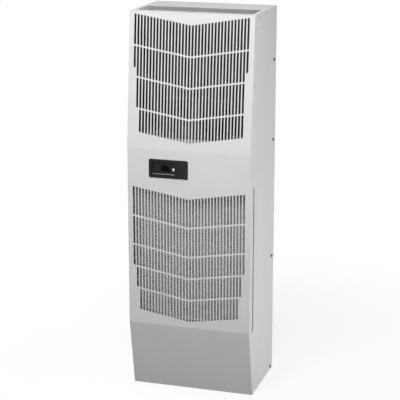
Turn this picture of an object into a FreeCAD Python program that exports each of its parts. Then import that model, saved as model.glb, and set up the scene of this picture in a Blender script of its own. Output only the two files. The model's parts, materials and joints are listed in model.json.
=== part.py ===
import FreeCAD, Part
import math
import os
import Sketcher

# Enclosure air conditioner: front at -Y, +Z up, millimetres, origin at the bottom centre.

doc = FreeCAD.newDocument("enclosure_air_conditioner")
sheet = doc.addObject("Spreadsheet::Sheet", "Sizes")

driving = {
    # cabinet
    "height": 1320.0,
    "width": 432.0,
    "depth": 322.0,
    "skin": 1.5,
    "top_setback": 40.0,
    "bottom_setback": 46.0,
    "upper_crease": 864.0,
    "lower_crease": 242.0,
    "flange_depth": 20.0,
    "return_rise": 10.0,
    "sheet_gap": 0.3,
    # back panel and its seal
    "back_sheet": 2.0,
    "back_flange": 45.0,
    "back_flange_low": 60.0,
    "back_flange_drop": 40.0,
    "gasket_thick": 5.0,
    "gasket_wide": 18.0,
    "gasket_side_inset": 26.0,
    "gasket_end_inset": 62.0,
    "bolt_hole_radius": 3.5,
    "bolt_side_inset": 13.0,
    "bolt_end_inset": 42.0,
    "vent_slot_wide": 8.0,
    "vent_slot_pitch": 16.0,
    "return_vent_wide": 204.0,
    "return_vent_tall": 200.0,
    "supply_vent_wide": 312.0,
    "supply_vent_low": 158.0,
    "supply_vent_tall": 250.0,
    # chevron grilles of the front cover
    "slot_wide": 7.0,
    "slot_pitch": 11.11,
    "slot_bridge": 5.5,
    "grille_side_margin": 18.6,
    "chevron_slope": 0.165,
    "upper_grille_rise": 26.0,
    "upper_grille_drop": 8.5,
    "upper_short_row": 78.0,
    "upper_tall_row": 104.0,
    "outer_slot_lift": 28.0,
    "lower_grille_rise": 20.0,
    "lower_grille_drop": 165.5,
    "lower_short_row": 77.3,
    "lower_tall_row": 102.5,
    "top_slot_start": 32.0,
    "top_slot_long": 115.0,
    # screws in the sides
    "screw_head_radius": 4.2,
    "screw_head_high": 2.2,
    "screw_radius": 1.9,
    "screw_long": 9.0,
    "screw_inset": 12.0,
    "top_screw_drop": 9.0,
    "top_screw_back": 26.0,
    "top_screw_pitch": 105.0,
    "crease_screw_gap": 36.0,
    "upper_screw_drop": 43.0,
    "lower_screw_rise": 172.0,
    "flange_screw_washer": 6.4,
    "flange_screw_hex": 5.4,
    "flange_screw_head": 3.4,
    "flange_screw_radius": 2.9,
    "flange_screw_inset": 32.0,
    "flange_screw_low": 14.0,
    "flange_screw_mid": 435.0,
    "flange_screw_drop": 181.0,
    # base pan and inner sheets
    "pan_floor_top": 24.0,
    "pan_sheet": 2.0,
    "inner_sheet": 1.5,
    "divider_back": 112.0,
    "divider_flange": 18.0,
    "deck_rise": 16.0,
    "deck_lip": 23.0,
    "deck_front": 8.0,
    "shelf_front": 27.0,
    "shelf_lip": 22.0,
    "lining_thick": 5.0,
    "lining_gap": 2.0,
    # controller
    "bezel_wide": 138.0,
    "bezel_tall": 64.0,
    "bezel_proud": 2.5,
    "bezel_right": -1.0,
    "bezel_drop": 33.0,
    "bezel_round": 5.0,
    "bezel_lap": 4.0,
    "bezel_spigot": 8.0,
    "window_left": 9.0,
    "window_wide": 82.0,
    "window_rise": 10.0,
    "window_tall": 44.0,
    "controller_lap": 2.0,
    "controller_deep": 52.0,
    "lens_left": 32.0,
    "lens_rise": 11.0,
    "lens_wide": 32.0,
    "lens_tall": 20.0,
    "lens_thick": 1.0,
    "button_radius": 4.5,
    "button_play": 0.08,
    "button_left": 76.0,
    "button_rise": 19.0,
    "button_proud": 3.0,
    "button_stem": 10.0,
    "button_bore": 13.0,
    # sliding filter
    "filter_inset": 41.0,
    "filter_thick": 20.0,
    "filter_low_drop": 2.0,
    "filter_tall": 504.0,
    "filter_border": 22.0,
    "filter_recess": 2.5,
    "filter_left_gap": 6.5,
    "filter_play": 0.5,
    "filter_media_thick": 3.0,
    "slot_play": 1.0,
    "rail_sheet": 1.2,
    "rail_wall": 12.0,
    # condenser coil and fan
    "coil_gap": 14.25,
    "coil_deep": 36.0,
    "coil_side_gap": 30.0,
    "coil_end_sheet": 1.5,
    "tube_radius": 4.8,
    "header_wide": 14.0,
    "header_end_gap": 14.0,
    "tube_deep": 30.0,
    "tube_thick": 2.5,
    "tube_pitch": 27.0,
    "fin_thick": 0.8,
    "fin_pitch": 10.0,
    "fin_inset": 5.0,
    "fan_front_gap": 11.0,
    "fan_rear_gap": 10.0,
    "fan_blade_reach": 26.0,
    "fan_deep": 64.0,
    "fan_plate": 2.0,
    "fan_ring_gap": 6.0,
    "ring_play": 4.0,
    "ring_flange": 24.0,
    "ring_high": 18.0,
    "blade_thick": 2.0,
    "hub_radius": 16.0,
    "hub_high": 20.0,
    "shaft_radius": 4.0,
    "shaft_play": 0.05,
    "motor_radius": 42.0,
    "motor_long": 60.0,
    "motor_gap": 10.0,
    "motor_bearing": 34.0,
    "bracket_gap": 20.0,
    "bracket_foot": 20.0,
    "bracket_wide": 44.0,
    # evaporator coil and blower
    "blower_drop": 228.0,
    "blower_radius": 100.0,
    "blower_eye": 72.0,
    "blower_deep": 50.0,
    "blower_motor_radius": 46.0,
    "blower_motor_long": 32.0,
    "evaporator_gap": 8.0,
    "evaporator_tall": 270.0,
    "drain_pan_low": 112.0,
    "drain_pan_high": 30.0,
    "drain_pan_side_gap": 25.0,
    "drain_side_gap": 94.5,
    "drain_back": 56.0,
    "drain_spout_bore": 6.0,
    "drain_spout_long": 22.0,
    "hose_wall": 2.5,
    "hose_play": 0.2,
    "barb_radius": 8.0,
    "barb_shank": 10.0,
    "barb_flange": 13.0,
    "barb_flange_high": 4.0,
    "barb_high": 34.0,
    "barb_drop": 18.0,
    # compressor and refrigerant lines
    "compressor_side_gap": 144.5,
    "compressor_front_gap": 61.0,
    "compressor_rear_gap": 17.0,
    "compressor_high": 178.0,
    "compressor_dome": 22.0,
    "foot_gap": 6.0,
    "foot_end": 13.0,
    "foot_sheet": 3.0,
    "grommet_radius": 10.0,
    "grommet_high": 14.0,
    "foot_bolt_radius": 3.0,
    "foot_nut_radius": 5.8,
    "foot_nut_high": 5.0,
    "terminal_radius": 20.0,
    "terminal_high": 12.0,
    "terminal_offset": 22.0,
    "accumulator_radius": 22.0,
    "accumulator_high": 118.0,
    "accumulator_low": 66.0,
    "accumulator_gap": 9.0,
    "accumulator_dome": 12.0,
    "suction_radius": 6.4,
    "line_bend": 12.0,
    "line_play": 0.6,
    "discharge_gap": 25.75,
    "drier_radius": 15.0,
    "drier_long": 38.0,
    "drier_cone": 9.0,
    "valve_wall_gap": 10.0,
    "valve_radius": 10.0,
    "valve_long": 22.0,
    "valve_head_radius": 13.0,
    "valve_head_high": 20.0,
    "feed_radius": 3.2,
    # electrical parts
    "ebox_wide": 130.5,
    "ebox_side_gap": 14.0,
    "ebox_front_gap": 78.0,
    "ebox_rear_gap": 20.0,
    "ebox_high": 172.0,
    "ebox_sheet": 1.2,
    "ebox_lid_lip": 12.0,
    "capacitor_radius": 22.0,
    "capacitor_rear_gap": 25.0,
    "capacitor_high": 96.0,
    "pole_pitch": 14.0,
    "terminal_deep": 28.0,
    "terminal_block_high": 24.0,
    "gland_side_gap": 84.5,
    "gland_z": 96.0,
    "gland_radius": 8.0,
    "gland_bore": 5.0,
    "gland_flange": 12.0,
    "gland_flange_thick": 2.0,
    "gland_long": 22.0,
}


class Size:
    # A length that carries its sheet formula and its present value together.

    def __init__(self, text, value):
        self.text = text
        self.value = value

    def joined(self, other, sign, value, swapped=False):
        first, second = (text_of(other), self.text) if swapped else (self.text, text_of(other))
        return Size(f"({first} {sign} {second})", value)

    def __add__(self, other):
        return self.joined(other, "+", self.value + value_of(other))

    def __radd__(self, other):
        return self.joined(other, "+", self.value + value_of(other), True)

    def __sub__(self, other):
        return self.joined(other, "-", self.value - value_of(other))

    def __rsub__(self, other):
        return self.joined(other, "-", value_of(other) - self.value, True)

    def __mul__(self, other):
        return self.joined(other, "*", self.value * value_of(other))

    def __rmul__(self, other):
        return self.joined(other, "*", self.value * value_of(other), True)

    def __truediv__(self, other):
        return self.joined(other, "/", self.value / value_of(other))

    def __neg__(self):
        return Size(f"(0 - {self.text})", -self.value)


def text_of(size):
    return size.text if isinstance(size, Size) else f"{size:.9f}"


def value_of(size):
    return size.value if isinstance(size, Size) else size


class Names:
    pass


d = Names()
for row, (word, number) in enumerate(driving.items(), start=1):
    sheet.set(f"A{row}", word)
    sheet.set(f"B{row}", str(number))
    sheet.setAlias(f"B{row}", word)
    setattr(d, word, Size(f"Sizes.{word}", number))
doc.recompute()

# Counts and angles of patterns

upper_short_rows = 1
lower_short_rows = 3
hexagon = 6
washer_sides = 16
edge_screws = 4
blade_count = 7
blade_steps = 3
blade_sweep = 48
compressor_feet = 3
terminal_poles = 5

# Builders: each makes document objects whose sizes are bound to the sheet.

zero = Size("0", 0.0)
turns = {
    "x": FreeCAD.Rotation(FreeCAD.Vector(0, 1, 0), 90),
    "y": FreeCAD.Rotation(FreeCAD.Vector(1, 0, 0), -90),
    "z": FreeCAD.Rotation(),
    "-y": FreeCAD.Rotation(FreeCAD.Vector(1, 0, 0), 90),
    "-z": FreeCAD.Rotation(FreeCAD.Vector(1, 0, 0), 180),
}
planes = {
    "xy": (FreeCAD.Rotation(), "z"),
    "xz": (FreeCAD.Rotation(FreeCAD.Vector(1, 0, 0), 90), "y"),
    "yz": (FreeCAD.Rotation(FreeCAD.Vector(1, 1, 1), 120), "x"),
}
directions = {
    "x": FreeCAD.Vector(1, 0, 0),
    "y": FreeCAD.Vector(0, 1, 0),
    "z": FreeCAD.Vector(0, 0, 1),
}


def bind(thing, prop, size):
    thing.setExpression(prop, text_of(size))


def place(thing, centre, axis="z"):
    thing.Placement = FreeCAD.Placement(FreeCAD.Vector(), turns[axis])
    for letter, size in zip("xyz", centre):
        bind(thing, f"Placement.Base.{letter}", size)
    return thing


def block(name, x, y, z):
    box = doc.addObject("Part::Box", name)
    for prop, (low, high) in zip(("Length", "Width", "Height"), (x, y, z)):
        bind(box, prop, high - low)
    return place(box, (x[0], y[0], z[0]))


def spot_on(axis, start, across):
    spot = dict(zip([letter for letter in "xyz" if letter != axis], across))
    spot[axis] = start
    return [spot[letter] for letter in "xyz"]


def rod(name, radius, axis, reach, across):
    cylinder = doc.addObject("Part::Cylinder", name)
    bind(cylinder, "Radius", radius)
    bind(cylinder, "Height", reach[1] - reach[0])
    return place(cylinder, spot_on(axis, reach[0], across), axis)


def bar(name, sides, radius, axis, reach, across):
    many_sided = doc.addObject("Part::Prism", name)
    many_sided.Polygon = round(sides)
    bind(many_sided, "Circumradius", radius)
    bind(many_sided, "Height", reach[1] - reach[0])
    return place(many_sided, spot_on(axis, reach[0], across), axis)


def together(name, parts):
    group = doc.addObject("Part::Compound", name)
    group.Links = list(parts)
    return group


def fused(name, *parts):
    joined = doc.addObject("Part::MultiFuse", name)
    joined.Shapes = list(parts)
    joined.Refine = True
    return joined


def cut(name, base, *tools):
    result = doc.addObject("Part::Cut", name)
    result.Base = base
    result.Tool = tools[0] if len(tools) == 1 else together(f"{name}_tools", tools)
    return result


def fill_sketch(sketch, points, closed):
    ends = list(points) + ([points[0]] if closed else [])
    spots = [FreeCAD.Vector(value_of(a), value_of(b), 0) for a, b in ends]
    for first, second in zip(spots, spots[1:]):
        sketch.addGeometry(Part.LineSegment(first, second), False)
    lines = len(ends) - 1
    for index in range(lines - 1):
        sketch.addConstraint(Sketcher.Constraint("Coincident", index, 2, index + 1, 1))
    if closed:
        sketch.addConstraint(Sketcher.Constraint("Coincident", lines - 1, 2, 0, 1))
    corners = [(index, 1) for index in range(lines)]
    if not closed:
        corners.append((lines - 1, 2))
    for (line, end), (a, b) in zip(corners, points):
        for kind, size in (("DistanceX", a), ("DistanceY", b)):
            mark = Sketcher.Constraint(kind, -1, 1, line, end, float(value_of(size)))
            number = sketch.addConstraint(mark)
            if isinstance(size, Size):
                sketch.setExpression(f"Constraints[{number}]", size.text)
    return sketch


def outline(name, plane, points, start=zero, closed=True):
    turn, letter = planes[plane]
    sketch = doc.addObject("Sketcher::SketchObject", name)
    sketch.Placement = FreeCAD.Placement(FreeCAD.Vector(), turn)
    bind(sketch, f"Placement.Base.{letter}", start)
    return fill_sketch(sketch, points, closed)


def extruded(name, plane, source, length):
    solid = doc.addObject("Part::Extrusion", name)
    solid.Base = source
    solid.DirMode = "Custom"
    solid.Dir = directions[planes[plane][1]]
    solid.Solid = True
    bind(solid, "LengthFwd", length)
    return solid


def prism(name, plane, points, reach):
    profile = outline(f"{name}_profile", plane, points, reach[0])
    return extruded(name, plane, profile, reach[1] - reach[0])


def bent_sheet(name, plane, path, thick, reach):
    line = outline(f"{name}_line", plane, path, reach[0], closed=False)
    band = doc.addObject("Part::Offset2D", f"{name}_band")
    band.Source = line
    band.Fill = True
    band.Mode = "Skin"
    band.Join = "Intersection"
    bind(band, "Value", thick)
    return extruded(name, plane, band, reach[1] - reach[0])


def turned(name, points, centre, axis="z"):
    profile = outline(f"{name}_profile", "xz", points)
    solid = doc.addObject("Part::Revolution", name)
    solid.Source = profile
    solid.Axis = directions["z"]
    solid.Base = FreeCAD.Vector()
    solid.Angle = 360
    solid.Solid = True
    return place(solid, centre, axis)


def ring(name, outer, inner, axis, reach, across):
    disc = rod(f"{name}_disc", outer, axis, reach, across)
    hole = rod(f"{name}_hole", inner, axis, reach, across)
    return cut(name, disc, hole)


def rounded(name, base, axis, radius):
    doc.recompute()
    soft = doc.addObject("Part::Fillet", name)
    soft.Base = base
    along = directions[axis]
    chosen = [
        (number, radius.value, radius.value)
        for number, edge in enumerate(base.Shape.Edges, start=1)
        if abs(edge.tangentAt(edge.FirstParameter).dot(along)) > 0.99
    ]
    soft.Edges = chosen
    return soft


def bent_tube(name, points, radius, bend):
    corners = [FreeCAD.Vector(*(value_of(size) for size in point)) for point in points]
    edges = []
    start = corners[0]
    for before, corner, after in zip(corners, corners[1:], corners[2:]):
        into = (corner - before).normalize()
        out = (after - corner).normalize()
        half = into.getAngle(out) / 2
        trim = bend.value * math.tan(half)
        middle = corner + (out - into).normalize() * bend.value * (1 / math.cos(half) - 1)
        first = corner - into * trim
        last = corner + out * trim
        edges.append(Part.makeLine(start, first))
        edges.append(Part.Arc(first, middle, last).toShape())
        start = last
    edges.append(Part.makeLine(start, corners[-1]))
    circle = Part.makeCircle(radius.value, corners[0], corners[1] - corners[0])
    tube = doc.addObject("Part::Feature", name)
    tube.Shape = Part.Wire(edges).makePipe(Part.Face(Part.Wire([circle])))
    tube.Placement = FreeCAD.Placement()
    return tube


def body_sketch(body, name, role, points, lift=zero):
    plane = [f for f in body.Origin.OriginFeatures if f.Role == role][0]
    sketch = body.newObject("Sketcher::SketchObject", name)
    sketch.AttachmentSupport = [(plane, "")]
    sketch.MapMode = "FlatFace"
    bind(sketch, "AttachmentOffset.Base.z", lift)
    return fill_sketch(sketch, points, True)


def rectangle(x, z):
    return [(x[0], z[0]), (x[1], z[0]), (x[1], z[1]), (x[0], z[1])]


def pad(body, name, sketch, length):
    feature = body.newObject("PartDesign::Pad", name)
    feature.Profile = sketch
    bind(feature, "Length", length)
    return feature


def revolved(body, name, sketch):
    feature = body.newObject("PartDesign::Revolution", name)
    feature.Profile = sketch
    feature.ReferenceAxis = (sketch, ["V_Axis"])
    feature.Angle = 360
    return feature


# Places that several pieces share

half = d.width / 2
side_inner = half - d.skin
flange_inner = side_inner - d.skin
y_front = (d.bezel_proud - d.depth - d.gasket_thick) / 2
y_back = y_front + d.depth
back_inner = y_back - d.back_sheet
divider_y = y_back - d.divider_back
divider_rear = divider_y + d.inner_sheet
cover_path = [
    (y_back, d.height),
    (y_front + d.top_setback, d.height),
    (y_front, d.upper_crease),
    (y_front, d.lower_crease),
    (y_front + d.bottom_setback, zero),
]
pieces = []


def keep(piece, label):
    piece.Label = label
    pieces.append(piece)
    return piece


# Spots of the side screws, as (y, z)

upper_screw_low = d.upper_crease + d.crease_screw_gap
upper_screw_high = d.height - d.upper_screw_drop
upper_screw_mid = (upper_screw_low + upper_screw_high) / 2


def upper_facet_y(z):
    return y_front + d.top_setback * (z - d.upper_crease) / (d.height - d.upper_crease)


cover_screw_spots = [
    (y_back - d.top_screw_back - d.top_screw_pitch * step, d.height - d.top_screw_drop) for step in range(3)
]
for spot_z in (upper_screw_low, upper_screw_mid, upper_screw_high):
    cover_screw_spots.append((upper_facet_y(spot_z) + d.screw_inset, spot_z))
edge_screw_high = d.upper_crease - d.crease_screw_gap
edge_screw_low = d.lower_crease + d.lower_screw_rise
for step in range(edge_screws):
    spot_z = edge_screw_high - (edge_screw_high - edge_screw_low) * (step / (edge_screws - 1))
    cover_screw_spots.append((y_front + d.screw_inset, spot_z))
flange_screw_y = y_back - d.flange_screw_inset
flange_screw_spots = [
    (flange_screw_y, d.flange_screw_low),
    (flange_screw_y, d.flange_screw_mid),
    (flange_screw_y, d.height - d.flange_screw_drop),
]

# Front cover: one folded sheet from the top edge of the back to the floor, with side returns


def chevron_slots(name, levels, skips, lift):
    # A row of slots between each two levels, low at the middle and rising to both sides.
    count = int((d.width.value / 2 - d.grille_side_margin.value) * 2 / d.slot_pitch.value + 0.5)
    reach = d.top_setback.value + d.flange_depth.value
    wide = d.slot_wide.value / 2
    gap = d.slot_bridge.value / 2
    slots = []
    for row, (low, high) in enumerate(zip(levels, levels[1:])):
        left, right = skips[row] if row < len(skips) else (0, 0)
        low_gap = gap if row else 0.0
        high_gap = gap if row < len(levels) - 2 else 0.0
        for column in range(left, count - right):
            x = (column - (count - 1) / 2) * d.slot_pitch.value
            outermost = column in (0, count - 1) and row == len(skips)
            floor = low + low_gap + (lift if outermost else 0.0)
            corners = []
            top = high - high_gap
            for side, edge in ((-wide, floor), (wide, floor), (wide, top), (-wide, top)):
                rise = d.chevron_slope.value * abs(x + side)
                corners.append(FreeCAD.Vector(x + side, y_front.value - reach, edge + rise))
            face = Part.Face(Part.makePolygon(corners + corners[:1]))
            slots.append(face.extrude(FreeCAD.Vector(0, 2 * reach, 0)))
    cutter = doc.addObject("Part::Feature", name)
    cutter.Shape = Part.makeCompound(slots)
    cutter.Placement = FreeCAD.Placement()
    return cutter


def row_levels(low, short_rows, short, tall, high):
    # Short rows from the bottom, then as many near-tall rows as fill the rest evenly.
    start = low + short * short_rows
    rows = max(1, round((high - start) / tall))
    levels = [low + short * row for row in range(short_rows)]
    return levels + [start + (high - start) * row / rows for row in range(rows + 1)]


def top_slots():
    count = int((d.width.value / 2 - d.grille_side_margin.value) * 2 / d.slot_pitch.value + 0.5)
    start = y_front + d.top_setback + d.top_slot_start
    slots = []
    for column in range(count):
        x = d.slot_pitch * (column - (count - 1) / 2)
        slots.append(block(
            f"top_slot_{column}",
            (x - d.slot_wide / 2, x + d.slot_wide / 2),
            (start, start + d.top_slot_long),
            (d.height - 2 * d.skin, d.height + d.skin),
        ))
    return together("top_slots", slots)


chevron_rise = d.chevron_slope * (half - d.grille_side_margin - d.slot_wide / 2)
upper_levels = row_levels(
    d.upper_crease.value + d.upper_grille_rise.value,
    upper_short_rows,
    d.upper_short_row.value,
    d.upper_tall_row.value,
    (d.height - d.upper_grille_drop - chevron_rise).value,
)
lower_levels = row_levels(
    d.lower_crease.value + d.lower_grille_rise.value,
    lower_short_rows,
    d.lower_short_row.value,
    d.lower_tall_row.value,
    d.upper_crease.value - d.lower_grille_drop.value,
)
upper_slots = chevron_slots("upper_slots", upper_levels, [(2, 1), (1, 1)], d.outer_slot_lift.value)
lower_slots = chevron_slots("lower_slots", lower_levels, [(2, 2), (1, 1)], 0.0)

bezel_left = d.bezel_right - d.bezel_wide
bezel_high = d.upper_crease - d.bezel_drop
bezel_low = bezel_high - d.bezel_tall
spigot_x = (bezel_left + d.bezel_lap, d.bezel_right - d.bezel_lap)
spigot_z = (bezel_low + d.bezel_lap, bezel_high - d.bezel_lap)
controller_hole = block(
    "controller_hole",
    (spigot_x[0] - d.sheet_gap, spigot_x[1] + d.sheet_gap),
    (y_front - d.skin, y_front + 2 * d.skin),
    (spigot_z[0] - d.sheet_gap, spigot_z[1] + d.sheet_gap),
)
cover_skin = bent_sheet("cover_skin", "yz", cover_path, -d.skin, (-side_inner, side_inner))
return_low = d.pan_floor_top + d.return_rise
return_foot = y_front + d.bottom_setback * (d.lower_crease - return_low) / d.lower_crease
return_path = [(back_inner - d.sheet_gap, d.height)] + cover_path[1:4] + [(return_foot, return_low)]
left_return = bent_sheet("left_return", "yz", return_path, -d.flange_depth, (-side_inner, -flange_inner))
right_return = bent_sheet("right_return", "yz", return_path, -d.flange_depth, (flange_inner, side_inner))
plain_cover = fused("plain_cover", cover_skin, left_return, right_return)
keep(cut("cover", plain_cover, upper_slots, lower_slots, top_slots(), controller_hole), "front_cover")

# Side panels: flat sheets cut to the cabinet's outline, the right one slotted for the filter

side_outline = cover_path + [(y_back, zero)]
filter_y = y_front + d.filter_inset
filter_low = d.lower_crease - d.filter_low_drop
filter_high = filter_low + d.filter_tall
filter_slot = block(
    "filter_slot",
    (side_inner - d.skin, half + d.skin),
    (filter_y - d.filter_thick / 2 - d.slot_play, filter_y + d.filter_thick / 2 + d.slot_play),
    (filter_low - d.filter_play - d.slot_play, filter_high + d.filter_play + d.slot_play),
)
keep(prism("left_sheet", "yz", side_outline, (-half, -side_inner)), "side_panel_left")
right_sheet = prism("right_sheet", "yz", side_outline, (side_inner, half))
keep(cut("right_panel", right_sheet, filter_slot), "side_panel_right")


def side_screws(name, spots, make):
    # The same screws on both sides, mirrored through the cabinet's middle plane.
    right = together(f"{name}_right", [make(f"{name}_{number}", spot) for number, spot in enumerate(spots)])
    left = doc.addObject("Part::Mirroring", f"{name}_left")
    left.Source = right
    left.Normal = directions["x"]
    return together(name, [right, left])


def cover_screw(name, spot):
    shank = bar(f"{name}_shank", hexagon, d.screw_radius, "x", (half - d.screw_long, half), spot)
    head = bar(f"{name}_head", hexagon, d.screw_head_radius, "x", (half, half + d.screw_head_high), spot)
    return fused(name, shank, head)


def flange_screw(name, spot):
    washer_top = half + d.flange_screw_head / 3
    shank = bar(f"{name}_shank", hexagon, d.flange_screw_radius, "x", (half - d.screw_long, half), spot)
    head_reach = (washer_top, half + d.flange_screw_head)
    washer = bar(f"{name}_washer", washer_sides, d.flange_screw_washer, "x", (half, washer_top), spot)
    head = bar(f"{name}_head", hexagon, d.flange_screw_hex, "x", head_reach, spot)
    return fused(name, shank, washer, head)


keep(side_screws("cover_screw_set", cover_screw_spots, cover_screw), "cover_screws")
keep(side_screws("flange_screw_set", flange_screw_spots, flange_screw), "flange_screws")

# Back panel: a tray with forward flanges, vent slots and bolt holes; its seal lies inside the bolts

blower_z = d.height - d.blower_drop
bolt_x = half - d.bolt_side_inset
bolt_rows = (d.bolt_end_inset, d.height / 2, d.height - d.bolt_end_inset)


def vent_pockets(body, name, wide, z):
    count = int(wide.value / d.vent_slot_pitch.value)
    span = d.vent_slot_pitch * (count - 1)
    slot = rectangle((-(span + d.vent_slot_wide) / 2, -(span - d.vent_slot_wide) / 2), z)
    pocket = body.newObject("PartDesign::Pocket", name)
    pocket.Profile = body_sketch(body, f"{name}_sketch", "XZ_Plane", slot, -y_back)
    pocket.Type = "ThroughAll"
    pocket.Reversed = True
    doc.recompute()
    pattern = body.newObject("PartDesign::LinearPattern", f"{name}_row")
    pattern.Originals = [pocket]
    axis = [f for f in body.Origin.OriginFeatures if f.Role == "X_Axis"][0]
    pattern.Direction = (axis, [""])
    bind(pattern, "Length", span)
    pattern.Occurrences = count
    body.Tip = pattern
    doc.recompute()


back_body = doc.addObject("PartDesign::Body", "back_body")
flange_front = y_back - d.back_flange
flange_side = side_inner - d.back_sheet
tray = [
    (-side_inner, y_back),
    (-side_inner, flange_front),
    (-flange_side, flange_front),
    (-flange_side, back_inner),
    (flange_side, back_inner),
    (flange_side, flange_front),
    (side_inner, flange_front),
    (side_inner, y_back),
]
tray_sketch = body_sketch(back_body, "tray_sketch", "XY_Plane", tray, d.back_flange_low)
pad(back_body, "tray_pad", tray_sketch, d.height - d.back_flange_drop - d.back_flange_low)
plate = rectangle((-side_inner, side_inner), (zero, d.height - d.skin))
pad(back_body, "plate_pad", body_sketch(back_body, "plate_sketch", "XZ_Plane", plate, -y_back), d.back_sheet)
doc.recompute()
half_return = d.return_vent_tall / 2
vent_pockets(back_body, "return_vent", d.return_vent_wide, (blower_z - half_return, blower_z + half_return))
supply_z = (d.supply_vent_low, d.supply_vent_low + d.supply_vent_tall)
vent_pockets(back_body, "supply_vent", d.supply_vent_wide, supply_z)
back_reach = (back_inner - d.skin, y_back + d.skin)
bolt_holes = together("bolt_holes", [
    rod(f"bolt_hole_{side}_{number}", d.bolt_hole_radius, "y", back_reach, (x, z))
    for side, x in (("left", -bolt_x), ("right", bolt_x))
    for number, z in enumerate(bolt_rows)
])
gland_x = side_inner - d.gland_side_gap
gland_hole = rod("gland_hole", d.gland_radius, "y", back_reach, (gland_x, d.gland_z))
keep(cut("back_tray", back_body, bolt_holes, gland_hole), "back_panel")

seal_x = half - d.gasket_side_inset
seal_z = (d.gasket_end_inset, d.height - d.gasket_end_inset)
seal_y = (y_back, y_back + d.gasket_thick)
seal_outer = block("seal_outer", (-seal_x, seal_x), seal_y, seal_z)
seal_inner = block(
    "seal_inner",
    (d.gasket_wide - seal_x, seal_x - d.gasket_wide),
    seal_y,
    (seal_z[0] + d.gasket_wide, seal_z[1] - d.gasket_wide),
)
keep(cut("gasket", seal_outer, seal_inner), "mounting_gasket")

# Base pan: raised floor on a skirt

pan_front = y_front + d.bottom_setback + 2 * d.skin
drain_spot = (d.drain_side_gap - side_inner, y_back - d.drain_back)
pan_outer = block("pan_outer", (-side_inner, side_inner), (pan_front, back_inner), (zero, d.pan_floor_top))
pan_hollow = block(
    "pan_hollow",
    (d.pan_sheet - side_inner, side_inner - d.pan_sheet),
    (pan_front + d.pan_sheet, back_inner - d.pan_sheet),
    (zero, d.pan_floor_top - d.pan_sheet),
)
barb_hole = rod("barb_hole", d.barb_shank, "z", (zero, d.pan_floor_top), drain_spot)
keep(cut("pan", cut("pan_shell", pan_outer, pan_hollow), barb_hole), "base_pan")

# Inner sheets: divider between room air and cabinet air, fan deck, coil shelves

shelf_top = filter_low - d.filter_play - d.rail_sheet
upper_shelf_low = filter_high + d.filter_play + d.rail_sheet
coil_front = filter_y + d.filter_thick / 2 + d.coil_gap
coil_back = coil_front + d.coil_deep
header_x = half - d.coil_side_gap
header_low = shelf_top + d.header_end_gap
header_high = upper_shelf_low - d.header_end_gap
header_centre = d.header_wide / 2 - header_x
evaporator_back = back_inner - d.evaporator_gap
evaporator_front = evaporator_back - d.coil_deep
evaporator_low = d.drain_pan_low + d.pan_sheet
evaporator_high = evaporator_low + d.evaporator_tall
evaporator_header_low = d.drain_pan_low + d.drain_pan_high
evaporator_header_high = evaporator_high - d.header_end_gap
compressor_x = d.compressor_side_gap - side_inner
compressor_front = y_front + d.compressor_front_gap
compressor_radius = (divider_y - d.compressor_rear_gap - compressor_front) / 2
compressor_y = compressor_front + compressor_radius
foot_reach = compressor_radius + d.foot_gap
can_low = d.pan_floor_top + d.grommet_high
can_top = can_low + d.compressor_high
discharge_x = compressor_x - d.terminal_offset
discharge_y = coil_back + d.discharge_gap
accumulator_x = compressor_x - compressor_radius - d.accumulator_gap - d.accumulator_radius
accumulator_top = d.accumulator_low + d.accumulator_high
suction_z = accumulator_top + d.line_bend + d.suction_radius
liquid_z = header_low + d.header_wide
suction_share = (evaporator_front - divider_y) / (evaporator_front - compressor_y)
suction_hole_x = header_centre + (accumulator_x - header_centre) * suction_share

divider_line = [
    (divider_y + d.divider_flange, d.pan_floor_top),
    (divider_y, d.pan_floor_top),
    (divider_y, d.height - d.skin),
    (divider_y + d.divider_flange, d.height - d.skin),
]
divider_sheet = bent_sheet("divider_sheet", "yz", divider_line, d.inner_sheet, (-flange_inner, flange_inner))
wall_reach = (divider_y - d.inner_sheet, divider_rear + d.inner_sheet)
suction_spot = (suction_hole_x, suction_z)
suction_hole = rod("suction_hole", d.suction_radius + d.line_play, "y", wall_reach, suction_spot)
feed_hole = rod("feed_hole", d.feed_radius + d.line_play, "y", wall_reach, (header_centre, liquid_z))
keep(cut("divider", divider_sheet, suction_hole, feed_hole), "divider_wall")

deck_low = d.upper_crease + d.deck_rise
deck_top = deck_low + d.inner_sheet
fan_room = divider_y - d.lining_thick - y_front
fan_radius = (fan_room - d.fan_front_gap - d.fan_rear_gap) / 2
fan_eye = fan_radius - d.fan_blade_reach
fan_spot = (zero, y_front + d.fan_front_gap + fan_radius)
deck_line = [
    (y_front + d.deck_front, deck_low + d.deck_lip),
    (y_front + d.deck_front, deck_low),
    (divider_y, deck_low),
]
deck_sheet = bent_sheet("deck_sheet", "yz", deck_line, -d.inner_sheet, (-flange_inner, flange_inner))
throat_radius = fan_eye - d.ring_play
deck_hole = rod("deck_hole", fan_eye, "z", (deck_low - d.skin, deck_top + d.skin), fan_spot)
keep(cut("deck", deck_sheet, deck_hole), "fan_deck")

shelf_front = y_front + d.shelf_front
lower_shelf_line = [
    (shelf_front, shelf_top - d.shelf_lip),
    (shelf_front, shelf_top),
    (divider_y, shelf_top),
]
shelf_x = (-side_inner, side_inner)
lower_sheet = bent_sheet("lower_shelf_sheet", "yz", lower_shelf_line, d.inner_sheet, shelf_x)
shelf_reach = (shelf_top - 2 * d.inner_sheet, shelf_top + d.inner_sheet)
discharge_hole = rod(
    "discharge_hole", d.tube_radius + d.line_play, "z", shelf_reach, (discharge_x, discharge_y)
)
keep(cut("lower_shelf_cut", lower_sheet, discharge_hole), "lower_shelf")
upper_shelf_line = [
    (shelf_front, upper_shelf_low + d.shelf_lip),
    (shelf_front, upper_shelf_low),
    (coil_back, upper_shelf_low),
    (coil_back, upper_shelf_low + d.shelf_lip),
]
upper_shelf = bent_sheet("upper_shelf_sheet", "yz", upper_shelf_line, -d.inner_sheet, shelf_x)
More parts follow.
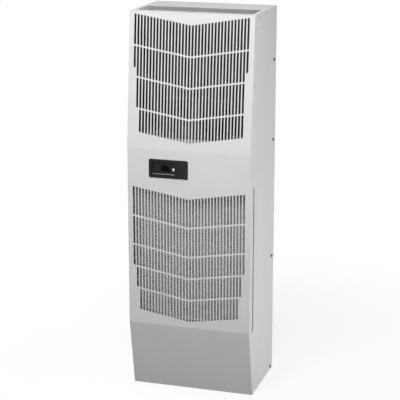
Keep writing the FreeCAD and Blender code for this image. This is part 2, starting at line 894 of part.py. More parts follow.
keep(upper_shelf, "upper_shelf")

# Foam lining of the fan space: on both sides behind the cover's returns, and on the divider between them

lining_top = d.height - d.flange_depth - d.lining_gap
lining_inset = d.flange_depth + d.lining_gap
lining_inner = side_inner - d.lining_thick
side_lining = [
    (upper_facet_y(deck_top) + lining_inset, deck_top),
    (divider_y, deck_top),
    (divider_y, lining_top),
    (upper_facet_y(lining_top) + lining_inset, lining_top),
]
keep(prism("left_lining", "yz", side_lining, (-side_inner, -lining_inner)), "side_lining_left")
keep(prism("right_lining", "yz", side_lining, (lining_inner, side_inner)), "side_lining_right")
lining_y = (divider_y - d.lining_thick, divider_y)
keep(block("back_lining", (-lining_inner, lining_inner), lining_y, (deck_top, lining_top)), "divider_lining")

# Sliding filter: aluminium frame round a mesh pad, between an upper and a lower channel

filter_x = (d.filter_left_gap - side_inner, half - d.filter_recess)
filter_reach = (filter_y - d.filter_thick / 2, filter_y + d.filter_thick / 2)
media_x = (filter_x[0] + d.filter_border, filter_x[1] - d.filter_border)
media_z = (filter_low + d.filter_border, filter_high - d.filter_border)
frame_outer = block("frame_outer", filter_x, filter_reach, (filter_low, filter_high))
frame_inner = block("frame_inner", media_x, filter_reach, media_z)
keep(cut("frame_ring", frame_outer, frame_inner), "filter_frame")
media_reach = (filter_y - d.filter_media_thick / 2, filter_y + d.filter_media_thick / 2)
keep(block("media_pad", media_x, media_reach, media_z), "filter_media")


def filter_rail(name, seat, wall_end, thick):
    near = filter_reach[0] - d.filter_play
    far = filter_reach[1] + d.filter_play
    channel = [(near, wall_end), (near, seat), (far, seat), (far, wall_end)]
    return bent_sheet(f"{name}_channel", "yz", channel, thick, (-side_inner, side_inner))


low_seat = filter_low - d.filter_play
high_seat = filter_high + d.filter_play
keep(filter_rail("filter_rail_lower", low_seat, low_seat + d.rail_wall, d.rail_sheet), "filter_rail_lower")
keep(filter_rail("filter_rail_upper", high_seat, high_seat - d.rail_wall, -d.rail_sheet), "filter_rail_upper")

# Controller: bezel with a recessed window, module behind it, lens and push button

window_x = (bezel_left + d.window_left, bezel_left + d.window_left + d.window_wide)
window_z = (bezel_low + d.window_rise, bezel_low + d.window_rise + d.window_tall)
bezel_front = y_front - d.bezel_proud
module_front = y_front + d.bezel_spigot
bezel_x = (bezel_left, d.bezel_right)
bezel_plate = block("bezel_plate", bezel_x, (bezel_front, y_front), (bezel_low, bezel_high))
bezel_face = rounded("bezel_face", bezel_plate, "y", d.bezel_round)
spigot = block("bezel_spigot_block", spigot_x, (y_front, module_front), spigot_z)
window = block("bezel_window", window_x, (bezel_front, module_front), window_z)
keep(cut("bezel", fused("bezel_blank", bezel_face, spigot), window), "controller_bezel")

module_x = (window_x[0] - d.controller_lap, window_x[1] + d.controller_lap)
module_z = (window_z[0] - d.controller_lap, window_z[1] + d.controller_lap)
button_spot = (bezel_left + d.window_left + d.button_left, window_z[0] + d.button_rise)
module_block = block("module_block", module_x, (module_front, module_front + d.controller_deep), module_z)
button_reach = (module_front, module_front + d.button_bore)
button_hole = rod("button_hole", d.button_radius + d.button_play, "y", button_reach, button_spot)
keep(cut("module", module_block, button_hole), "controller_body")
lens_x = (window_x[0] + d.lens_left, window_x[0] + d.lens_left + d.lens_wide)
lens_z = (window_z[0] + d.lens_rise, window_z[0] + d.lens_rise + d.lens_tall)
keep(block("lens", lens_x, (module_front - d.lens_thick, module_front), lens_z), "display_window")
button_profile = [
    (zero, -d.button_proud),
    (d.button_radius * 0.8, -d.button_proud),
    (d.button_radius, -d.button_proud * 0.7),
    (d.button_radius, d.button_stem),
    (zero, d.button_stem),
]
keep(turned("button", button_profile, (button_spot[0], module_front, button_spot[1]), "y"), "select_button")

# Coils: flat tubes between two box headers, through upright fins


def header_coil(name, y, core_y, header_z):
    count = int((header_z[1].value - header_z[0].value) / d.tube_pitch.value)
    header_inner = header_x - d.header_wide
    parts = [
        block(f"{name}_header_left", (-header_x, -header_inner), y, header_z),
        block(f"{name}_header_right", (header_inner, header_x), y, header_z),
    ]
    for number in range(count):
        centre = header_z[0] + (header_z[1] - header_z[0]) * ((number + 0.5) / count)
        tube_z = (centre - d.tube_thick / 2, centre + d.tube_thick / 2)
        parts.append(block(f"{name}_tube_{number}", (-header_inner, header_inner), core_y, tube_z))
    return fused(name, *parts)


def fin_pack(name, core_y, z):
    reach = header_x - d.header_wide - d.fin_inset
    count = int(2 * reach.value / d.fin_pitch.value) + 1
    fins = []
    for number in range(count):
        x = d.fin_pitch * (number - (count - 1) / 2)
        fins.append(block(f"{name}_{number}", (x - d.fin_thick / 2, x + d.fin_thick / 2), core_y, z))
    return together(name, fins)


def side_channels(name, y, z):
    # A flat strip under and over the fins, between the headers.
    reach = header_x - d.header_wide
    low = block(f"{name}_low", (-reach, reach), y, (z[0], z[0] + d.coil_end_sheet))
    high = block(f"{name}_high", (-reach, reach), y, (z[1] - d.coil_end_sheet, z[1]))
    return together(name, [low, high])


def coil(name, y, z, header_z):
    middle = (y[0] + y[1]) / 2
    core_y = (middle - d.tube_deep / 2, middle + d.tube_deep / 2)
    fin_z = (z[0] + d.coil_end_sheet, z[1] - d.coil_end_sheet)
    core = keep(header_coil(f"{name}_core", y, core_y, header_z), f"{name}_tubes")
    keep(fin_pack(f"{name}_fin", core_y, fin_z), f"{name}_fins")
    keep(side_channels(f"{name}_strip", y, z), f"{name}_end_plates")
    return core


condenser_z = (shelf_top, upper_shelf_low)
coil("condenser", (coil_front, coil_back), condenser_z, (header_low, header_high))
evaporator_core = coil(
    "evaporator",
    (evaporator_front, evaporator_back),
    (evaporator_low, evaporator_high),
    (evaporator_header_low, evaporator_header_high),
)
baffle_line = [
    (evaporator_front, evaporator_high),
    (back_inner, evaporator_high),
    (back_inner, evaporator_high + d.shelf_lip),
]
baffle_half = header_x - d.header_wide
baffle = bent_sheet("coil_baffle_sheet", "yz", baffle_line, -d.inner_sheet, (-baffle_half, baffle_half))
keep(baffle, "coil_baffle")

# Fans: backward-curved wheels on shafts that run in their motors, each behind an inlet ring


def fan_wheel(name, centre, axis, radius, eye, deep):
    body = doc.addObject("PartDesign::Body", name)
    disc = [
        (d.shaft_radius, zero),
        (radius, zero),
        (radius, d.fan_plate),
        (d.hub_radius, d.fan_plate),
        (d.hub_radius, d.hub_high),
        (d.shaft_radius, d.hub_high),
    ]
    revolved(body, f"{name}_disc", body_sketch(body, f"{name}_disc_sketch", "XZ_Plane", disc))
    sides = []
    for sign in (1, -1):
        side = []
        for step in range(blade_steps + 1):
            share = step / blade_steps
            angle = math.radians(blade_sweep) * share
            reach = eye + (radius - eye) * share
            lean = d.blade_thick * (sign / 2)
            side.append((
                reach * math.cos(angle) - lean * math.sin(angle),
                reach * math.sin(angle) + lean * math.cos(angle),
            ))
        sides.append(side)
    blade_points = sides[1] + sides[0][::-1]
    blade_sketch = body_sketch(body, f"{name}_blade_sketch", "XY_Plane", blade_points, d.fan_plate / 2)
    blade = pad(body, f"{name}_blade", blade_sketch, deep - d.fan_plate)
    doc.recompute()
    pattern = body.newObject("PartDesign::PolarPattern", f"{name}_blades")
    pattern.Originals = [blade]
    axis_line = [f for f in body.Origin.OriginFeatures if f.Role == "Z_Axis"][0]
    pattern.Axis = (axis_line, [""])
    pattern.Angle = 360
    pattern.Occurrences = blade_count
    body.Tip = pattern
    doc.recompute()
    front = rectangle((eye, radius), (deep - d.fan_plate, deep))
    body.Tip = revolved(body, f"{name}_front", body_sketch(body, f"{name}_front_sketch", "XZ_Plane", front))
    return place(body, centre, axis)


def inlet_ring(name, centre, axis, throat):
    # Flat flange, then a lip that narrows to the throat.
    wall = d.fan_plate / 2
    mouth = throat + d.ring_play
    profile = [
        (mouth, zero),
        (mouth + d.ring_flange, zero),
        (mouth + d.ring_flange, wall),
        (mouth + wall, wall),
        (throat + wall, d.ring_high),
        (throat, d.ring_high),
    ]
    return turned(name, profile, centre, axis)


def fan_motor(name, centre, axis, radius, length, bearing):
    # A short can, bored for the shaft.
    bore = d.shaft_radius + d.shaft_play
    profile = [
        (bore, zero),
        (radius, zero),
        (radius, length),
        (zero, length),
        (zero, bearing),
        (bore, bearing),
    ]
    return turned(name, profile, centre, axis)


ring_base = deck_top
wheel_low = ring_base + d.fan_ring_gap
wheel_top = wheel_low + d.fan_deep
motor_low = wheel_top + d.motor_gap
motor_top = motor_low + d.motor_long
fan_ring_centre = (fan_spot[0], fan_spot[1], ring_base)
keep(inlet_ring("fan_ring", fan_ring_centre, "z", throat_radius), "condenser_inlet_ring")
wheel_centre = (fan_spot[0], fan_spot[1], wheel_top)
keep(fan_wheel("fan_wheel", wheel_centre, "-z", fan_radius, fan_eye, d.fan_deep), "condenser_impeller")
shaft_reach = (wheel_top - d.hub_high, motor_low + d.motor_bearing - d.motor_gap)
keep(rod("fan_shaft", d.shaft_radius, "z", shaft_reach, fan_spot), "condenser_shaft")
fan_motor_centre = (fan_spot[0], fan_spot[1], motor_low)
fan_motor_can = fan_motor("fan_motor", fan_motor_centre, "z", d.motor_radius, d.motor_long, d.motor_bearing)
keep(fan_motor_can, "condenser_motor")
bracket_half = fan_radius + d.bracket_gap
bracket_line = [
    (-bracket_half - d.bracket_foot, deck_top),
    (-bracket_half, deck_top),
    (-bracket_half, motor_top),
    (bracket_half, motor_top),
    (bracket_half, deck_top),
    (bracket_half + d.bracket_foot, deck_top),
]
bracket_reach = (fan_spot[1] - d.bracket_wide / 2, fan_spot[1] + d.bracket_wide / 2)
keep(bent_sheet("bracket_strap", "xz", bracket_line, d.inner_sheet, bracket_reach), "motor_bracket")

blower_top = divider_rear + d.blower_motor_long
blower_plate = blower_top + d.motor_gap
blower_throat = d.blower_eye - d.ring_play
ring_centre = (zero, back_inner, blower_z)
keep(inlet_ring("blower_ring", ring_centre, "-y", blower_throat), "evaporator_inlet_ring")
blower_centre = (zero, blower_plate, blower_z)
blower_wheel = fan_wheel("blower_wheel", blower_centre, "y", d.blower_radius, d.blower_eye, d.blower_deep)
keep(blower_wheel, "evaporator_impeller")
blower_motor_reach = d.blower_motor_long - d.motor_gap / 2
blower_shaft_reach = (blower_top - blower_motor_reach + d.motor_gap, blower_plate + d.hub_high)
keep(rod("blower_shaft", d.shaft_radius, "y", blower_shaft_reach, (zero, blower_z)), "evaporator_shaft")
blower_motor = fan_motor(
    "blower_motor",
    (zero, blower_top, blower_z),
    "-y",
    d.blower_motor_radius,
    d.blower_motor_long,
    blower_motor_reach,
)
keep(blower_motor, "evaporator_motor")

# Drain: tray under the evaporator, hose, bulkhead barb in the base pan

tray_x = side_inner - d.drain_pan_side_gap
tray_high = d.drain_pan_low + d.drain_pan_high
tray_outer = block("tray_outer", (-tray_x, tray_x), (divider_rear, back_inner), (d.drain_pan_low, tray_high))
tray_hollow = block(
    "tray_hollow",
    (d.pan_sheet - tray_x, tray_x - d.pan_sheet),
    (divider_rear + d.pan_sheet, back_inner - d.pan_sheet),
    (evaporator_low, tray_high),
)
spout_reach = (d.drain_pan_low - d.drain_spout_long, d.drain_pan_low)
spout = rod("tray_spout", d.barb_radius, "z", spout_reach, drain_spot)
spout_bore = rod("tray_bore", d.drain_spout_bore, "z", (spout_reach[0], evaporator_low), drain_spot)
tray_shell = cut("tray_shell", tray_outer, tray_hollow)
keep(cut("tray", fused("tray_blank", tray_shell, spout), spout_bore), "drain_pan")
hose_bore = d.barb_radius + d.hose_play
hose_reach = (d.pan_floor_top + d.barb_flange_high, d.drain_pan_low)
keep(ring("hose", hose_bore + d.hose_wall, hose_bore, "z", hose_reach, drain_spot), "drain_hose")
barb_top = d.barb_flange_high + d.barb_high
barb_profile = [
    (d.drain_spout_bore, -d.barb_drop - d.pan_sheet),
    (d.barb_radius, -d.barb_drop - d.pan_sheet),
    (d.barb_radius, -d.pan_sheet),
    (d.barb_shank, -d.pan_sheet),
    (d.barb_shank, zero),
    (d.barb_flange, zero),
    (d.barb_flange, d.barb_flange_high),
    (d.barb_radius, d.barb_flange_high),
    (d.barb_radius, barb_top),
    (d.drain_spout_bore, barb_top),
]
keep(turned("barb", barb_profile, (drain_spot[0], drain_spot[1], d.pan_floor_top)), "drain_barb")

# Compressor on rubber feet, with its accumulator and terminal cover


def domed_can(name, spot, low, high, radius, dome):
    # Straight wall with a coned end at the top and the bottom.
    crown = radius - dome
    tall = high - low
    profile = [
        (zero, zero),
        (crown, zero),
        (radius, dome / 2),
        (radius, tall - dome / 2),
        (crown, tall),
        (zero, tall),
    ]
    return turned(name, profile, (spot[0], spot[1], low))


compressor_spot = (compressor_x, compressor_y)
can = domed_can("can", compressor_spot, can_low, can_top, compressor_radius, d.compressor_dome)
foot_angles = [2 * math.pi * foot / compressor_feet for foot in range(compressor_feet)]
foot_spots = []
foot_plate_points = []
for angle in foot_angles:
    along = (math.cos(angle), math.sin(angle))
    foot_spots.append((compressor_x + foot_reach * along[0], compressor_y + foot_reach * along[1]))
    for side in (-1, 1):
        foot_plate_points.append((
            compressor_x + (foot_reach + d.foot_end) * along[0] - d.foot_end * (side * along[1]),
            compressor_y + (foot_reach + d.foot_end) * along[1] + d.foot_end * (side * along[0]),
        ))
foot_plate_reach = (can_low, can_low + d.foot_sheet)
foot_plate = prism("foot_plate", "xy", foot_plate_points, foot_plate_reach)
foot_holes = [
    rod(f"foot_hole_{number}", d.foot_bolt_radius, "z", foot_plate_reach, spot)
    for number, spot in enumerate(foot_spots)
]
keep(cut("compressor_can", fused("can_on_feet", can, foot_plate), *foot_holes), "compressor")


def grommet(number, spot):
    return rod(f"grommet_{number}", d.grommet_radius, "z", (d.pan_floor_top, can_low), spot)


def foot_bolt(number, spot):
    seat = can_low + d.foot_sheet
    stud = rod(f"foot_stud_{number}", d.foot_bolt_radius, "z", (can_low, seat), spot)
    nut = bar(f"foot_nut_{number}", hexagon, d.foot_nut_radius, "z", (seat, seat + d.foot_nut_high), spot)
    return fused(f"foot_bolt_{number}", stud, nut)


grommets = [grommet(number, spot) for number, spot in enumerate(foot_spots)]
foot_bolts = [foot_bolt(number, spot) for number, spot in enumerate(foot_spots)]
keep(together("grommet_set", grommets), "compressor_grommets")
keep(together("foot_bolt_set", foot_bolts), "compressor_bolts")
terminal_spot = (compressor_x + d.terminal_offset, compressor_y)
terminal_reach = (can_top - d.compressor_dome / 2, can_top + d.terminal_high)
terminal_cap = rod("terminal_cap", d.terminal_radius, "z", terminal_reach, terminal_spot)
keep(cut("terminal_cap_on_dome", terminal_cap, can), "terminal_cover")
accumulator_spot = (accumulator_x, compressor_y)
bottle = domed_can(
    "bottle", accumulator_spot, d.accumulator_low, accumulator_top, d.accumulator_radius, d.accumulator_dome
)
stub_reach = (accumulator_x, compressor_x)
stub_spot = (compressor_y, d.accumulator_low + 2 * d.accumulator_dome)
stub = rod("bottle_stub", d.suction_radius, "x", stub_reach, stub_spot)
keep(cut("bottle_on_can", fused("bottle_with_stub", bottle, stub), can), "accumulator")

# Refrigerant lines

discharge_z = header_high - d.header_wide
discharge_points = [
    (discharge_x, discharge_y, can_top),
    (discharge_x, discharge_y, discharge_z),
    (header_centre, discharge_y, discharge_z),
    (header_centre, coil_back, discharge_z),
]
keep(bent_tube("discharge_tube", discharge_points, d.tube_radius, d.line_bend), "discharge_line")
valve_end = divider_y - d.valve_wall_gap
drier_end = valve_end - d.valve_long
drier_start = drier_end - d.drier_long
line_spot = (header_centre, liquid_z)
keep(rod("liquid_tube", d.tube_radius, "y", (coil_back, drier_start), line_spot), "liquid_line")
drier_profile = [
    (zero, zero),
    (d.tube_radius, zero),
    (d.drier_radius, d.drier_cone),
    (d.drier_radius, d.drier_long - d.drier_cone),
    (d.tube_radius, d.drier_long),
    (zero, d.drier_long),
]
keep(turned("drier", drier_profile, (header_centre, drier_start, liquid_z), "y"), "filter_drier")
valve_body = bar("valve_body", hexagon, d.valve_radius, "y", (drier_end, valve_end), line_spot)
valve_top = liquid_z + d.valve_head_high
valve_spot = (header_centre, (drier_end + valve_end) / 2)
valve_neck = rod("valve_neck", d.tube_radius, "z", (liquid_z, valve_top), valve_spot)
valve_head_reach = (valve_top - d.valve_radius / 2, valve_top)
valve_head = rod("valve_head", d.valve_head_radius, "z", valve_head_reach, valve_spot)
keep(fused("valve", valve_body, valve_neck, valve_head), "expansion_valve")
keep(rod("feed_tube", d.feed_radius, "y", (valve_end, evaporator_front), line_spot), "feed_line")
suction_points = [
    (header_centre, evaporator_front + d.suction_radius, suction_z),
    (accumulator_x, compressor_y, suction_z),
    (accumulator_x, compressor_y, accumulator_top),
]
suction_tube = bent_tube("suction_tube", suction_points, d.suction_radius, d.line_bend)
keep(cut("suction_to_header", suction_tube, evaporator_core), "suction_line")

# Electrical box on the base pan, and the gland for the supply

ebox_right = side_inner - d.ebox_side_gap
ebox_x = (ebox_right - d.ebox_wide, ebox_right)
ebox_y = (y_front + d.ebox_front_gap, divider_y - d.ebox_rear_gap)
ebox_z = (d.pan_floor_top, d.pan_floor_top + d.ebox_high)
box_outer = block("box_outer", ebox_x, ebox_y, ebox_z)
box_hollow = block(
    "box_hollow",
    (ebox_x[0] + d.ebox_sheet, ebox_x[1] - d.ebox_sheet),
    (ebox_y[0] + d.ebox_sheet, ebox_y[1] - d.ebox_sheet),
    (ebox_z[0] + d.ebox_sheet, ebox_z[1]),
)
keep(cut("box_shell", box_outer, box_hollow), "electrical_box")
lid_outer = block(
    "lid_outer",
    (ebox_x[0] - d.ebox_sheet, ebox_x[1] + d.ebox_sheet),
    (ebox_y[0] - d.ebox_sheet, ebox_y[1] + d.ebox_sheet),
    (ebox_z[1] - d.ebox_lid_lip, ebox_z[1] + d.ebox_sheet),
)
lid_hollow = block("lid_hollow", ebox_x, ebox_y, (ebox_z[1] - d.ebox_lid_lip, ebox_z[1]))
keep(cut("lid", lid_outer, lid_hollow), "electrical_cover")
box_floor = ebox_z[0] + d.ebox_sheet
capacitor_spot = (ebox_x[1] - 2 * d.capacitor_radius, ebox_y[1] - d.capacitor_rear_gap)
capacitor_reach = (box_floor, box_floor + d.capacitor_high)
keep(rod("capacitor_can", d.capacitor_radius, "z", capacitor_reach, capacitor_spot), "run_capacitor")
terminal_y = (ebox_y[0] + 2 * d.ebox_sheet, ebox_y[0] + 2 * d.ebox_sheet + d.terminal_deep)
terminal_x = ebox_x[0] + d.pole_pitch / 2
terminal_base = block(
    "terminal_base",
    (ebox_x[0] + d.pole_pitch / 4, terminal_x + d.pole_pitch * terminal_poles),
    terminal_y,
    (box_floor, box_floor + d.terminal_block_high),
)
wells = [
    block(
        f"terminal_well_{pole}",
        (terminal_x + d.pole_pitch * pole, terminal_x + d.pole_pitch * (pole + 0.7)),
        (terminal_y[0] + d.ebox_sheet, terminal_y[1] - d.ebox_sheet),
        (box_floor + d.terminal_block_high / 2, box_floor + d.terminal_block_high),
    )
    for pole in range(terminal_poles)
]
keep(cut("terminal_strip", terminal_base, *wells), "terminal_block")
gland_profile = [
    (d.gland_bore, -d.gland_flange_thick),
    (d.gland_flange, -d.gland_flange_thick),
    (d.gland_flange, zero),
    (d.gland_radius, zero),
    (d.gland_radius, d.gland_long),
    (d.gland_bore, d.gland_long),
]
keep(turned("gland", gland_profile, (gland_x, y_back, d.gland_z), "-y"), "cable_gland")

# Check and export

doc.recompute()
for thing in doc.Objects:
    if "Invalid" in thing.State or "Error" in thing.State:
        raise RuntimeError(f"{thing.Name} did not rebuild: {thing.State}")
os.makedirs("parts", exist_ok=True)
for piece in pieces:
    if piece.Shape.isNull() or not piece.Shape.isValid():
        raise RuntimeError(f"{piece.Label} has no valid shape")
    piece.Shape.exportStep(f"parts/{piece.Label}.step")
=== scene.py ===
import json
import math

import bmesh
import bpy
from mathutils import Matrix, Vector


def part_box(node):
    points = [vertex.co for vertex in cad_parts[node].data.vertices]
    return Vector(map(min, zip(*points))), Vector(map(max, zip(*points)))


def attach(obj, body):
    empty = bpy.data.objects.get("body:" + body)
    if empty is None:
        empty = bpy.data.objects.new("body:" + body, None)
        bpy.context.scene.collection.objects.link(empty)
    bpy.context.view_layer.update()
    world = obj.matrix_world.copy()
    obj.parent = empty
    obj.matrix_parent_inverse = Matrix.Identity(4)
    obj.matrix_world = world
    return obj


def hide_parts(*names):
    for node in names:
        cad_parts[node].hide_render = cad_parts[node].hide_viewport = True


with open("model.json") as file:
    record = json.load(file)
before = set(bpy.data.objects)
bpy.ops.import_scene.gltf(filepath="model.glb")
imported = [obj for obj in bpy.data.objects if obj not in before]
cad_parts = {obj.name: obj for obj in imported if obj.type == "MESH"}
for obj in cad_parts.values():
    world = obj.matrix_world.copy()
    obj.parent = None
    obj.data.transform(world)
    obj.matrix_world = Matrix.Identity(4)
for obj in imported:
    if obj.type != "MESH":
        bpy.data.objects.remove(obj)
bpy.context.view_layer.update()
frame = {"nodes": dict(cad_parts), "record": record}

nodes = frame["nodes"]
print("frame loaded,", len(nodes), "nodes")


# hand tools, and what they count as near, flat or sharp

weldGap = 0.000004  # metres, corners this close become one
sameSpot = 0.000001  # metres, a corner this close to a plane lies on it
facing = 0.99  # cosine, for a face that looks along an axis
rimShare = 0.9  # of a disc's radius, corners further out are on its rim
flatAngle = 0.6  # degrees, flatter seams are dissolved
sharpAngle = 40  # degrees, sharper edges get rounded, or stay crisp in the shading


def clearPicks():
    bpy.ops.object.select_all(action="DESELECT")


def takeUp(piece):
    clearPicks()
    piece.select_set(True)
    bpy.context.view_layer.objects.active = piece


def startEdit(piece):
    takeUp(piece)
    bpy.ops.object.mode_set(mode="EDIT")


def stopEdit():
    bpy.ops.object.mode_set(mode="OBJECT")


def pick(piece, kind, test):
    bpy.ops.mesh.select_mode(type=kind)
    bpy.ops.mesh.select_all(action="DESELECT")
    shell = bmesh.from_edit_mesh(piece.data)
    for part in {"VERT": shell.verts, "EDGE": shell.edges, "FACE": shell.faces}[kind]:
        if test(part):
            part.select_set(True)
    shell.select_flush_mode()
    bmesh.update_edit_mesh(piece.data)


def liesAt(edge, axis, value):  # both ends on one plane across the axis
    return all(abs(getattr(end.co, axis) - value) < sameSpot for end in edge.verts)


def offAxis(spot, middle, axis):  # distance from a line along the axis
    gap = spot - middle
    setattr(gap, axis, 0)
    return gap.length


def settle(piece, name):  # place goes into the mesh, object back to the origin
    takeUp(piece)
    bpy.ops.object.transform_apply(location=True, rotation=True, scale=True)
    piece.name = piece.data.name = name
    return piece


def finishWith(piece, kind, **settings):
    takeUp(piece)
    change = piece.modifiers.new(kind.lower(), kind)
    for name, value in settings.items():
        setattr(change, name, value)
    bpy.ops.object.modifier_apply(modifier=change.name)


def smoothBy(piece, degrees=sharpAngle):
    takeUp(piece)
    bpy.ops.object.shade_smooth_by_angle(angle=math.radians(degrees))


def newBox(name, low, high):
    clearPicks()
    low, high = Vector(low), Vector(high)
    bpy.ops.mesh.primitive_cube_add(size=1, location=(low + high) / 2)
    box = bpy.context.active_object
    box.scale = high - low
    return settle(box, name)


def newDisc(name, sides, radius, depth, middle, axis):
    clearPicks()
    turn = {"x": (0, math.pi / 2, 0), "y": (math.pi / 2, 0, 0)}[axis]
    bpy.ops.mesh.primitive_cylinder_add(vertices=sides, radius=radius, depth=depth,
                                        location=middle, rotation=turn)
    return settle(bpy.context.active_object, name)


def mergedCopy(node, name):  # a CAD mesh comes as loose triangles
    piece = bpy.data.objects.new(name, nodes[node].data.copy())
    bpy.context.scene.collection.objects.link(piece)
    startEdit(piece)
    bpy.ops.mesh.select_all(action="SELECT")
    bpy.ops.mesh.customdata_custom_splitnormals_clear()
    bpy.ops.mesh.remove_doubles(threshold=weldGap)
    bpy.ops.mesh.dissolve_limited(angle_limit=math.radians(flatAngle))
    stopEdit()
    return piece


def softened(node, name, sizes):  # the solid with its sharp edges rounded
    piece = mergedCopy(node, name)
    finishWith(piece, "BEVEL", width=sizes["round"], segments=sizes["steps"], limit_method="ANGLE",
               angle_limit=math.radians(sharpAngle), use_clamp_overlap=True)
    smoothBy(piece)
    return piece


def placesOf(node):  # lowest and highest corner of each separate solid of a node
    shell = bmesh.new()
    shell.from_mesh(nodes[node].data)
    bmesh.ops.remove_doubles(shell, verts=shell.verts[:], dist=weldGap)
    left, boxes = set(shell.verts), []
    while left:
        front = [left.pop()]
        solid = list(front)
        while front:
            for edge in front.pop().link_edges:
                for end in edge.verts:
                    if end in left:
                        left.discard(end)
                        front.append(end)
                        solid.append(end)
        spots = [end.co for end in solid]
        boxes.append((Vector(map(min, zip(*spots))), Vector(map(max, zip(*spots)))))
    shell.free()
    return sorted(boxes, key=lambda corners: [round(value, 5) for value in corners[0]])


def copyTo(model, seat, place, turned):
    takeUp(model)
    bpy.ops.object.duplicate(linked=False)
    if turned:
        bpy.ops.transform.rotate(value=math.pi, orient_axis="Z", center_override=seat)
    bpy.ops.transform.translate(value=place - seat)
    return settle(bpy.context.active_object, model.name)


def joined(pieces, name):
    clearPicks()
    for piece in pieces:
        piece.select_set(True)
    bpy.context.view_layer.objects.active = pieces[0]
    bpy.ops.object.join()
    return settle(bpy.context.active_object, name)


def dress(piece, body, slot, material, *stoodFor):
    piece.data.materials.clear()
    piece.data.materials.append(material)
    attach(piece, body)
    if stoodFor:
        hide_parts(*stoodFor)


# shader maths

class Wire:
    def __init__(self, tree, socket=None):
        self.tree, self.socket = tree, socket

    def node(self, kind, settings=None, inputs=None, out=0):
        made = self.tree.nodes.new("ShaderNode" + kind)
        for name, value in (settings or {}).items():
            setattr(made, name, value)
        for name, value in (inputs or {}).items():
            if isinstance(value, Wire):
                self.tree.links.new(value.socket, made.inputs[name])
            else:
                made.inputs[name].default_value = value
        return Wire(self.tree, made.outputs[out] if len(made.outputs) else None)

    def maths(self, operation, *values):
        return self.node("Math", {"operation": operation}, dict(enumerate(values)))

    def __add__(self, other):
        return self.maths("ADD", self, other)

    def __sub__(self, other):
        return self.maths("SUBTRACT", self, other)

    def __rsub__(self, other):
        return self.maths("SUBTRACT", other, self)

    def __mul__(self, other):
        return self.maths("MULTIPLY", self, other)

    def __abs__(self):
        return self.maths("ABSOLUTE", self)

    __radd__ = __add__
    __rmul__ = __mul__

    def between(self, low, high):  # 0 at low, 1 at high, eased
        return self.node("MapRange", {"interpolation_type": "SMOOTHSTEP"},
                         {"Value": self, "From Min": low, "From Max": high})

    def mixed(self, first, second, share=None):  # two colours by this factor, or by a share of it
        factor = self if share is None else self * share
        return self.node("Mix", {"data_type": "RGBA"}, {0: factor, 6: first, 7: second}, 2)  # colour sockets

    def bump(self, strength, distance):
        return self.node("Bump", {}, {"Strength": strength, "Distance": distance, "Height": self})


def bareTree(owner):  # the node tree of a material or world, emptied
    owner.use_nodes = True
    owner.node_tree.nodes.clear()
    return Wire(owner.node_tree)


def grey(value, warm=0.0):
    return (value * (1 + warm), value, value * (1 - warm), 1.0)


class Finish:
    def __init__(self, name):
        self.material = bpy.data.materials.new(name)
        self.wire = bareTree(self.material)
        self.place = self.wire.node("TexCoord", out="Object")

    def along(self, axis):
        return self.wire.node("SeparateXYZ", {}, {"Vector": self.place}, axis)

    def stretched(self, x, y, z):
        return self.wire.node("Mapping", {}, {"Vector": self.place, "Scale": (x, y, z)})

    def noise(self, scale, detail=2.0, vector=None):
        return self.wire.node("TexNoise", {},
                              {"Vector": vector or self.place, "Scale": scale, "Detail": detail})

    def cells(self, scale, feature="F1", vector=None, out="Distance"):
        return self.wire.node("TexVoronoi", {"feature": feature},
                              {"Vector": vector or self.place, "Scale": scale}, out)

    def set(self, **sockets):  # a number sits on its socket, a wire is linked to it
        inputs = {name.replace("_", " "): value for name, value in sockets.items()}
        shader = self.wire.node("BsdfPrincipled", {}, inputs)
        self.wire.node("OutputMaterial", {}, {"Surface": shader})
        return self.material


# finishes: shade and light are the two tones of a surface, rough and metal its plain levels,
# noise and cell scales are per metre, bump distances in metres

def cabinetPaint():  # light grey powder coat with a fine orange peel
    look = {"shade": (0.640, 0.650, 0.658, 1), "light": (0.662, 0.671, 0.678, 1), "speck": grey(0.52),
            "dust": (0.42, 0.40, 0.37, 1), "darkBandHigh": 0.16, "rough": 0.48, "gloss": 0.16}
    coat = Finish("cabinetPaint")
    cloud = coat.noise(scale=9.0, detail=3.0)
    speck = coat.noise(scale=2600.0, detail=1.0)
    # patchy, darker and browner paint in a band up from the bottom
    foot = 1 - coat.along("Z").between(0.0, look["darkBandHigh"])
    dust = foot * coat.noise(scale=55.0, detail=4.0).between(0.35, 0.75)
    tone = cloud.between(0.3, 0.7).mixed(look["shade"], look["light"])
    tone = speck.between(0.62, 0.8).mixed(tone, look["speck"], share=0.25)
    tone = dust.mixed(tone, look["dust"], share=0.10)
    peel = coat.noise(scale=620.0) + coat.noise(scale=1900.0, detail=1.0) * 0.3
    return coat.set(Base_Color=tone, Roughness=look["rough"] + cloud * 0.10 + dust * 0.1,
                    Specular_IOR_Level=look["gloss"], Normal=peel.bump(strength=0.3, distance=0.0007))


def galvanisedSteel(name, shade, light):  # zinc spangle
    look = {"shade": grey(shade, warm=-0.04), "light": grey(light, warm=-0.03), "rough": 0.46, "metal": 0.6}
    zinc = Finish(name)
    spangle = zinc.wire.node("SeparateColor", {}, {"Color": zinc.cells(scale=70.0, out="Color")}, "Red")
    cloud = zinc.noise(scale=14.0, detail=4.0)
    tone = (spangle * 0.7 + cloud * 0.3).mixed(look["shade"], look["light"])
    scratch = zinc.noise(scale=30.0, detail=3.0, vector=zinc.stretched(4.0, 60.0, 60.0))
    return zinc.set(Base_Color=tone, Metallic=look["metal"] - cloud.between(0.55, 0.8) * 0.3,
                    Roughness=look["rough"] + spangle * 0.16,
                    Normal=(scratch * 0.4 + spangle).bump(strength=0.08, distance=0.0004))


